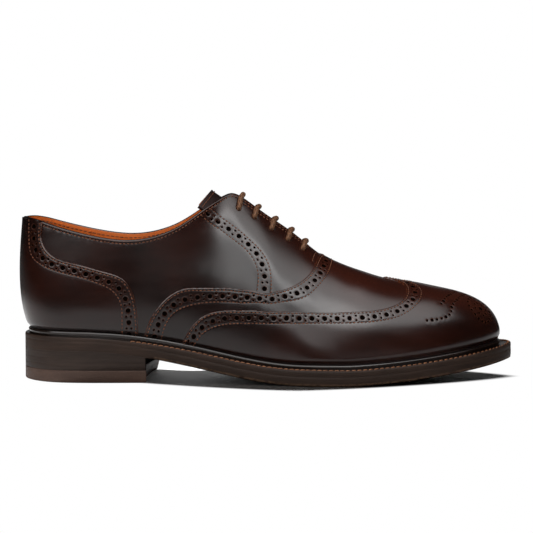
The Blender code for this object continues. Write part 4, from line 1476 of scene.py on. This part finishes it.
# %% Edge finishes
def edge_leather(name, dark, light, line, roughness, layers=0.0, shine=0.2):
    """Stained and waxed edge of sole leather, with a line in another tone where its attribute edge is low;
    low on the outsole this line is a painted highlight.
    """
    made, tree, shader = new_material(name, roughness, Specular_IOR_Level=shine)
    polish = group_node(tree, patina, Size=30.0)
    skin = group_node(tree, grain, Cells_per_metre=1100.0, Pores_per_metre=700.0)
    colour = blend_colours(tree, ramp(tree, polish.outputs["Cloud"], 0.3, 0.72), dark, light)
    wear_and_painted_light = group_node(tree, edge_wear_and_painted_light, Distance=attribute(tree, "edge"), Reach=0.0009)
    colour = blend_colours(tree, maths(tree, "MULTIPLY", wear_and_painted_light.outputs["Line"], 0.75), colour, line)
    height = skin.outputs["Height"]
    if layers:
        squeeze = add_node(tree, "ShaderNodeMapping", Vector=object_place(tree), Scale=(0.03, 0.03, 1.0))
        fibres = add_node(
            tree, "ShaderNodeTexNoise", Vector=squeeze.outputs[0], Scale=layers, Detail=3.0, Roughness=0.7)
        share = maths(tree, "MULTIPLY", ramp(tree, fibres.outputs[0], 0.35, 0.65), 0.35)
        colour = blend_colours(tree, share, colour, 0.55 * np.array(dark))
        height = maths(tree, "ADD", height, fibres.outputs[0])
    rough = ramp(tree, polish.outputs["Cloud"], 0.25, 0.8, roughness - 0.06, roughness + 0.1, "LINEAR")
    tree.links.new(colour, shader.inputs["Base Color"])
    tree.links.new(rough, shader.inputs["Roughness"])
    bump(tree, shader, height, 0.00008, 0.6)
    return made


WELT = edge_leather(
    "waxed welt", (0.007, 0.0037, 0.0026), (0.014, 0.007, 0.0047), (0.07, 0.036, 0.022), 0.2, shine=0.5)
# The sole edge's line, low on the outsole, is a lighter painted highlight where the bevel would catch the
# light.
SOLE_EDGE = edge_leather(
    "stained sole edge", (0.022, 0.0122, 0.0083), (0.034, 0.019, 0.0128), (0.15, 0.09, 0.056), 0.55, 900.0)
HEEL_EDGE = edge_leather(
    "stained lifts", (0.023, 0.0145, 0.0111), (0.034, 0.0218, 0.0168), (0.016, 0.0105, 0.008), 0.55, 1300.0)
# Painted shade: the heel breast, which faces the toe and lies in shadow under the arch, is painted near black
# without reflection.
breast_shade_tone = 0.007, 0.006, 0.0055
BREAST_PAINTED_SHADE = edge_leather(
    "heel breast, painted shade", (0.004, 0.0034, 0.003), breast_shade_tone, breast_shade_tone, 0.6, shine=0.0)

# %% Welt ring
UNMARKED = 9
WELT_THICKNESS, LIP_HEIGHT, LIP_WIDTH = 3.0 * MM, 2.3 * MM, 1.7 * MM
LIP_CLEAR = 0.65 * MM


def turns_round(step):
    """Sides and rows once round the shoe: heel back, lateral side, toe tip, medial side."""
    rows = np.arange(0, LAST_ROW + 1e-6, step)
    side = np.concatenate([np.full(len(rows), LATERAL), np.full(len(rows) - 2, MEDIAL)])
    return side, np.concatenate([rows, rows[-2:0:-1]])


def leather_offset(side, row, height):
    """How far the upper stands outside the feather edge, a height above the outsole."""
    ups = np.linspace(0, 0.4, 61)
    line = upper_point(side[:, None], row[:, None], ups[None, :])
    rise = line[..., 2] - line[:, :1, 2]
    out_x, out_y = outwards(side, row)
    from_first = line[..., :2] - line[:, :1, :2]
    offset = from_first[..., 0] * out_x[:, None] + from_first[..., 1] * out_y[:, None]
    return np.array([np.interp(height, r, o) for r, o in zip(rise, offset)])


def welt_frame(side, row):
    """Feather edge, outward direction and the welt's main widths for each turn."""
    foot = section(side, row)[0]
    edge_x, edge_y = sole_edge(side, row)
    width = np.hypot(edge_x - foot[:, 0], edge_y - foot[:, 1])
    at_foot, at_middle, at_top = (
        leather_offset(side, row, share * (WELT_THICKNESS + LIP_HEIGHT)) for share in (0, 0.5, 1))
    lip_outer = np.minimum(at_top + LIP_CLEAR + LIP_WIDTH, width - 1.3 * MM)
    return foot, width, at_foot + 0.4 * MM, at_middle + LIP_CLEAR, at_top + LIP_CLEAR, lip_outer


def welt_place(foot, side, row, out, up):
    """Place at a distance out from the feather edge and up from the welt's underside."""
    out_x, out_y = outwards(side, row)
    x, y = foot[:, 0] + out * out_x, foot[:, 1] + out * out_y
    ledge = np.interp(x / SOLE_LENGTH, WELT_RISE_AT, LEDGE_RISE) * MM
    lip_rise = np.interp(x / SOLE_LENGTH, WELT_RISE_AT, LIP_RISE) * MM
    rise = np.interp(up, (0, 1.0 * MM, 2.9 * MM, 4.0 * MM), (0, 0, 1, 2))
    rise = np.where(rise < 1, rise * ledge, ledge + (rise - 1) * (lip_rise - ledge))
    return np.stack([x, y, foot[:, 2] + up + rise + sole_lift(x) - sole_lift(foot[:, 0])], -1)


side, row = turns_round(0.1)
foot, width, in_low, in_middle, in_top, lip = welt_frame(side, row)
profile = (
    # out in metres, up in mm, and 1 on the trimmed wall
    (in_low, -0.28, 1), (width, -0.28, 1), (width + 0.06 * MM, 1.0, 1), (width, 2.1, 1),
    (width - 0.25 * MM, 2.6, 1), (width - 0.6 * MM, 2.85, 1), (0.5 * width + 0.5 * lip, 2.7, 0),
    (0.2 * width + 0.8 * lip, 2.4, 0), (lip - 0.35 * MM, 2.0, 0), (lip - 0.55 * MM, 2.7, 0),
    (lip - 0.3 * MM, 3.4, 0), (lip + 0.12 * MM, 4.15, 0), (lip + 0.08 * MM, 4.3, 0),
    (lip - 0.08 * MM, 4.7, 0), (lip - 0.28 * MM, 5.02, 0), (lip - 0.4 * MM, 5.13, 0),
    (0.5 * (lip + in_top), 5.25, 0), (in_top + 0.3 * MM, 5.05, 0), (in_top + 0.05 * MM, 4.6, 0),
    (in_middle, 2.6, 0), (in_low, -0.28, 0),
)
net = np.stack([welt_place(foot, side, row, out, up * MM) for out, up, _ in profile], 1)
net = np.concatenate([net, net[:1]])
wall = np.tile([share for _, _, share in profile], (len(net), 1))
unmarked = np.full(wall.shape, UNMARKED * MM)
welt = piece_from_net("welt_strip", net, [WELT, SOLE_EDGE], 60, edge=unmarked, wall=wall)
shares = welt.data.attributes["wall"].data
for face in welt.data.polygons:
    face.material_index = int(min(shares[corner].value for corner in face.vertices) > 0.5)
belongs(welt, "welt_leather", "welt")

# %% Welt stitches
WELT_STITCH_START = 4.75
WELT_STITCH_PITCH = 3.5 * MM
WELT_STITCH_SLANT = 0.35

side, row = turns_round(0.02)
keep = row > WELT_STITCH_START
side, row = side[keep], row[keep]
foot, width, _, _, _, lip = welt_frame(side, row)
path = welt_place(foot, side, row, 0.8 * width + 0.2 * lip - 0.3 * MM, 2.9 * MM)
centres, forwards = stitches_along(path, WELT_STITCH_PITCH)
forwards = unit(forwards + WELT_STITCH_SLANT * np.cross((0, 0, 1), forwards))
ups = unit(np.cross(forwards, np.cross((0, 0, 1), forwards)))
thread_piece(
    "welt_stitches", [(centres, forwards, ups)], 3.1 * MM, 0.8 * MM, WELT_THREAD, "welt_leather")

# %% [markdown]
# ## Outsole and insole
# Both are slabs that follow the sole's curve. Each is a net of profiles round the shoe: every profile starts
# on the middle line on top, goes over the edge, and ends on the middle line below, where the two sides meet
# and are merged. The tread gets shallow cross grooves and a plain rim.

# %% Outsole
def slab_net(side, row, out_of, profile):
    """Net of a slab; the profile lists (share from the middle line, extra out in mm, height function)."""
    edge_x, edge_y = out_of(side, row)
    other_x, other_y = out_of(-side, row)
    middle_x, middle_y = (edge_x + other_x) / 2, (edge_y + other_y) / 2
    out_x, out_y = outwards(side, row)
    net = []
    for share, extra, height in profile:
        x = middle_x + share * (edge_x - middle_x) + extra * MM * out_x
        y = middle_y + share * (edge_y - middle_y) + extra * MM * out_y
        net.append(np.stack([x, y, height(x, share)], -1))
    net = np.stack(net, 1)
    return np.concatenate([net, net[:1]])


GROOVE_PITCH, GROOVE_DEPTH = 7.0 * MM, 0.8 * MM
TREAD_START, TREAD_END = 0.47 * SOLE_LENGTH, 0.93 * SOLE_LENGTH


def tread(x, share):
    """Underside: cross grooves in the forefoot, inside a plain rim."""
    wave = np.abs(np.mod(x / GROOVE_PITCH, 1) - 0.5) * 2
    groove = np.clip((0.42 - wave) / 0.2, 0, 1) * (share < 0.9) * (share > 0.05)
    groove = groove * ((x > TREAD_START) & (x < TREAD_END))
    return sole_lift(x) + GROOVE_DEPTH * groove


def on_top(x, share):
    return sole_lift(x) + OUTSOLE_THICKNESS


def at_height(height):
    return lambda x, share: sole_lift(x) + height * MM


side, row = turns_round(0.08)
free = np.clip((sole_edge(side, row)[0] / MM - 79) / 3, 0, 1)
profile = [(share, 0, on_top) for share in (0, 0.5, 0.9)] + [
    (1, -0.1, on_top), (1, 0, at_height(5.8)), (1, 0.1 * free, at_height(4.2)),
    (1, 0.1 * free, at_height(2.6)), (1, 0.1 * free, at_height(1.8)), (1, 0.0, at_height(0.9)),
    (1, -0.25 * free, at_height(0.35)), (1, -0.8 * free, at_height(0.0)),
] + [(share, 0, tread) for share in (0.93, 0.905, 0.89, 0.75, 0.5, 0.25, 0.06, 0.04, 0)]
net = slab_net(side, row, sole_edge, profile)
# Marks that draw the lighter line low on the outsole's edge: a painted highlight.
marks = np.array([UNMARKED] * 7 + [0.5, 0.0, 0.0, 0.5] + [UNMARKED] * 9)
marks = UNMARKED - (UNMARKED - marks) * np.append(free, free[0])[:, None]
outsole = piece_from_net("sole_slab", net, [SOLE_EDGE], 35, edge=marks * MM)
belongs(outsole, "outsole_leather", "outsole")

# %% Insole sock
def sock_edge(side, row):
    foot = section(side, row)[0]
    out_x, out_y = outwards(side, row)
    inset = UPPER_WALL + 2 * GAP
    return foot[..., 0] - inset * out_x, foot[..., 1] - inset * out_y


SOCK_SEAT = OUTSOLE_THICKNESS / MM + GAP / MM
crown = [(share, 0, 3.0 - 0.5 * share ** 2) for share in (0, 0.35, 0.65, 0.85, 0.95)]
rim = [(1, -0.35, 2.45), (1, -0.05, 2.1), (1, 0, 1.5), (1, 0, 0), (0.5, 0, 0), (0, 0, 0)]
profile = [(share, extra, at_height(SOCK_SEAT + height)) for share, extra, height in crown + rim]
side, row = turns_round(0.2)
sock = piece_from_net("insole_sock", slab_net(side, row, sock_edge, profile), [LINING], 50)
belongs(sock, "sock_leather", "insole")

# %% [markdown]
# ## The heel
# The heel is a stack of leather lifts with a rubber top piece, the part that meets the floor. One outline,
# round the back and along the hollowed breast, is repeated at each height. Thin grooves part the lifts, and
# the rubber's lower edge is finely toothed.

# %% Heel outline
BREAST = {LATERAL: 78.2 * MM, MEDIAL: 84.5 * MM}
BREAST_HOLLOW = 4 * MM
BREAST_LEAN = 0.25
TOP_PIECE_THICKNESS = 7.7 * MM


def heel_outline(step):
    """Heel seen from above, as points a step apart, with the outward direction at each."""
    fine = np.arange(0, 7, 0.02)
    curves = {}
    for side in SIDES:
        x, y = sole_edge(side, fine)
        behind = x < BREAST[side]
        curves[side] = np.column_stack([x[behind], y[behind]])
    start, end = curves[LATERAL][-1], curves[MEDIAL][-1]
    shares = np.linspace(0, 1, 60)[1:-1]
    breast = start + shares[:, None] * (end - start)
    breast[:, 0] -= BREAST_HOLLOW * np.sin(math.pi * shares)
    loop = np.concatenate([curves[LATERAL], breast, curves[MEDIAL][:0:-1]])
    closed = np.concatenate([loop, loop[:1]])
    at = run_length(closed)
    count = 2 * int(round(at[-1] / step / 2))
    even_loop = at_lengths(np.arange(count) * at[-1] / count, at, closed)
    along = unit(np.roll(even_loop, -1, 0) - np.roll(even_loop, 1, 0))
    out = np.stack([along[:, 1], -along[:, 0]], -1)
    outward = np.sum((even_loop - even_loop.mean(0)) * out) > 0
    return even_loop, out if outward else -out


def stacked(outline, out, levels, middle):
    """Net of rings at (extra out in mm, height) levels, closed at both ends in the middle."""
    rings = []
    for extra, height in levels:
        shift = (np.zeros(len(outline)) + extra)[:, None] * MM * out
        ring = np.column_stack([outline + shift, np.zeros(len(outline)) + height])
        inner = smooth_step((outline[:, 0] / MM - 60) / 20) * smooth_step(outline[:, 1] / MM / 30)
        ring[:, 0] += BREAST_LEAN * inner * (ring[:, 2] - HEEL_HEIGHT / 2)
        rings.append(np.concatenate([ring, ring[:1]]))
    for place in (0, -1):
        pole = np.tile([*middle, rings[place][:, 2].mean()], (len(rings[0]), 1))
        rings.insert(0 if place == 0 else len(rings), pole)
    return np.array(rings)


outline, out = heel_outline(1.0 * MM)
stack_top = sole_lift(outline[:, 0]) - 0.05 * MM
middle = outline.mean(0)
low = TOP_PIECE_THICKNESS + 0.1 * MM
levels = [(-0.2, low), (0.0, low + 0.25 * MM)]
for line in (11.6 * MM, 15.3 * MM):
    levels += [(0.0, line - 0.2 * MM), (-0.04, line), (0.0, line + 0.2 * MM)]
levels += [(0.0, stack_top - 0.3 * MM), (0.0, stack_top)]
heel_marks = np.full(len(levels) + 2, float(UNMARKED))
heel_marks[[1, 4, 7]] = 0.8, 0.75, 0.75
net = stacked(outline, out, levels, middle)
marks = np.repeat(heel_marks[:, None], net.shape[1], 1) * MM
heel_stack = piece_from_net("heel_lifts", net, [HEEL_EDGE, BREAST_PAINTED_SHADE], 40, edge=marks)
# Faces that look towards the toe, the breast, take the painted shade.
for face in heel_stack.data.polygons:
    face.material_index = int(face.normal.x > 0.6)
belongs(heel_stack, "heel_leather", "heel_stack")

# %% Rubber top piece
RUBBER, tree, shader = new_material("brown heel rubber", 0.6, Specular_IOR_Level=0.35)
rubber_skin = group_node(tree, grain, Cells_per_metre=700.0, Pores_per_metre=900.0)
rubber_cloud = group_node(tree, patina, Size=25.0)
share = ramp(tree, rubber_cloud.outputs["Cloud"], 0.3, 0.7)
colour = blend_colours(tree, share, (0.044, 0.023, 0.0155), (0.064, 0.034, 0.023))
dusty = maths(tree, "MULTIPLY", rubber_skin.outputs["Pores"], 0.4)
tree.links.new(blend_colours(tree, dusty, colour, (0.10, 0.062, 0.045)), shader.inputs["Base Color"])
bump(tree, shader, rubber_skin.outputs["Height"], 0.00012, 0.7)

outline, out = heel_outline(0.6 * MM)
tooth = np.where(np.arange(len(outline)) % 2 == 0, 0.0, 1.0)
levels = [
    (-0.9, 0.0), (-0.35 - 0.25 * tooth, 0.0), (-0.05 - 0.3 * tooth, 0.35 * MM), (-0.3 * tooth, 1.1 * MM),
    (0.0, 1.7 * MM), (0.0, 3.5 * MM), (0.0, TOP_PIECE_THICKNESS - 0.35 * MM), (-0.3, TOP_PIECE_THICKNESS),
]
top_piece = piece_from_net("heel_rubber_piece", stacked(outline, out, levels, outline.mean(0)), [RUBBER], 30)
belongs(top_piece, "heel_rubber", "heel_top_piece")

# %% [markdown]
# ## The tongue
# The tongue is a sheet under the lace edges. It follows the inside of the facings and stands out past their
# top corners, where its stitched end shows. A net gives its upper face; Solidify and Bevel make it a sheet.

# %% Tongue
TONGUE_THICKNESS = 2.0 * MM
TONGUE_TOP = 118.2 * MM, 118.3 * MM
END_RUN, END_RISE = 16, 19
END_ROUND, END_DROP = 3 * MM, 0.8
stations, across = 30, 14
shares = np.linspace(0, 1, across + 1)
sheets = []
for number, row in enumerate(np.linspace(12.3, 9.2, stations)):
    share = number / (stations - 1)
    half = (12 + share * 23) * MM
    depth = UPPER_WALL + 2 * GAP + 4.5 * MM * share ** 2
    line = []
    for side in SIDES:
        ups = np.linspace(0.4, 1, 121)
        curve = upper_layer(side, np.full_like(ups, row), ups, np.full_like(ups, -depth))[::-1]
        line.append(at_lengths(shares * half, run_length(curve), curve))
    middle = (line[0][0] + line[1][0]) / 2
    sheets.append(np.concatenate([line[0][:0:-1], [middle], line[1][1:]]))
slope = math.radians(32)
push = np.array([-math.cos(slope), 0, math.sin(slope)])
flat_end = sheets[-1].copy()
drop = flat_end[across, 2] - flat_end[:, 2]
flat_end[:, 2] = flat_end[across, 2] - END_DROP * (np.hypot(drop, END_ROUND) - END_ROUND)
end_x, end_z = flat_end[:, 0] - TONGUE_TOP[0], flat_end[:, 2] - TONGUE_TOP[1]
reach = (END_RISE * end_x - END_RUN * end_z) / (END_RISE * math.cos(slope) + END_RUN * math.sin(slope))
for share in np.linspace(0, 1, 13)[1:]:
    opened = math.sin(share * math.pi / 2)
    bent = (1 - opened) * sheets[stations - 1] + opened * flat_end
    sheets.append(bent + np.outer(reach * share, push))
sheets = np.array(sheets)
for _ in range(6):
    across_it = sheets[1:-1, :-2] + sheets[1:-1, 2:]
    along_it = sheets[:-2, 1:-1] + sheets[2:, 1:-1]
    sheets[1:-1, 1:-1] = (2 * sheets[1:-1, 1:-1] + along_it + across_it) / 6
tongue = piece_from_net("tongue_sheet", sheets, [PLAIN_CALF, LINING], 60)
if np.mean([face.normal.z for face in tongue.data.polygons]) < 0:
    tongue.data.flip_normals()
thick = tongue.modifiers.new("thickness", "SOLIDIFY")
thick.thickness, thick.offset = TONGUE_THICKNESS, -1
thick.material_offset, thick.material_offset_rim = 1, 0
round_edge = tongue.modifiers.new("rounded edge", "BEVEL")
round_edge.width, round_edge.segments, round_edge.limit_method = 0.6 * MM, 3, "ANGLE"
bpy.context.view_layer.objects.active = tongue
for step in ("thickness", "rounded edge"):
    bpy.ops.object.modifier_apply(modifier=step)
belongs(tongue, "tongue_leather", "tongue")

# %% Tongue stitches
centres, forwards = stitches_along(sheets[-1] - 2.2 * MM * push, STITCH_PITCH, 2 * MM)
normals = unit(np.cross(forwards, push))
normals *= np.where(normals[:, 2:] < 0, -1, 1)
frames = [(centres + 0.1 * MM * normals, forwards, normals)]
thread_piece("tongue_stitches", frames, 2.1 * MM, 0.55 * MM, THREAD, "tongue_leather")

# %% [markdown]
# ## The laces
# Five straight bars of waxed round cord cross the lace edges. Each comes up out of an eyelet, bends over the
# leather, and goes down the opposite eyelet, where the rest is hidden, so no end is free. The braid is in the
# mesh: two sets of strands that wind round the cord in opposite directions.

# %% Lace cord
CORD, tree, shader = new_material("waxed cord", 0.62, Specular_IOR_Level=0.3)
yarn = add_node(tree, "ShaderNodeTexNoise", Vector=object_place(tree), Scale=1500.0, Detail=3.0)
light_yarn = ramp(tree, yarn.outputs[0], 0.3, 0.7)
tone = blend_colours(tree, light_yarn, (0.105, 0.044, 0.020), (0.195, 0.090, 0.044))
# Painted shade: the cord is darkened between its strands.
painted_strand_shade = ramp(tree, attribute(tree, "strand"), 0.0, 0.5, 0.6, 0.0, "LINEAR")
tree.links.new(blend_colours(tree, painted_strand_shade, tone, (0.02, 0.011, 0.007)), shader.inputs["Base Color"])
bump(tree, shader, yarn.outputs[0], 0.0001, 0.8)

# %% Lace bars
LACE_RADIUS = 1.65 * MM
BRAID_LENGTH = 4.2 * MM
BRAID_STRANDS = 4


def lace_path(row):
    """Middle of a bar: up out of one eyelet, over the lace edges, down the other."""
    shares = np.linspace(0, 1, 7)
    clear = LACE_RADIUS * (0.95 - 0.2 * shares)
    halves = []
    for side in SIDES:
        lowest = below_top(side, row, EYELET_INSET)
        ups = lowest + (1 - lowest) * shares
        over = upper_layer(side, row + 0.1 * shares, ups, clear)
        heights = np.array([-2.3, -0.9, 0.5]) * MM
        shift = lowest + (1 - lowest) * np.array([0.0, 0.0, 0.03])
        hole = upper_layer(side, np.full(3, row), shift, heights)
        halves.append(np.concatenate([hole, over[1:]]))
    return spline_line(np.concatenate([halves[0], halves[1][::-1]]), 0.35 * MM)


def braided_tube(path, radius):
    """Net of a cord along a path, with raised crossing strands, and a value that is low between them, where
    the cord's colour paints shade.
    """
    along = unit(np.gradient(path, axis=0))
    across = unit(np.cross(along, (1.0, 0, 0.3)))
    above = np.cross(across, along)
    turns = np.linspace(0, 2 * math.pi, 25)
    wind = 2 * math.pi * run_length(path)[:, None] / BRAID_LENGTH
    right, left = (np.cos(BRAID_STRANDS * turns[None] + sign * wind) for sign in (1, -1))
    strand = np.maximum(np.clip(right, 0, 1), np.clip(left, 0, 1))
    girth = radius * (0.93 + 0.08 * strand)
    round_it = np.cos(turns)[None, :, None] * across[:, None] + np.sin(turns)[None, :, None] * above[:, None]
    net = path[:, None] + girth[..., None] * round_it
    ends = [np.tile(path[place], (1, len(turns), 1)) for place in (0, -1)]
    flat_row = np.ones((1, len(turns)))
    return np.concatenate([ends[0], net, ends[1]]), np.concatenate([flat_row, strand, flat_row])


for number, row in enumerate(EYELET_ROWS, 1):
    net, strand = braided_tube(lace_path(row), LACE_RADIUS)
    bar = piece_from_net(f"lace_{number}", net, [CORD], 60, strand=strand)
    belongs(bar, "lace_cord", f"lace_bar_{number}")
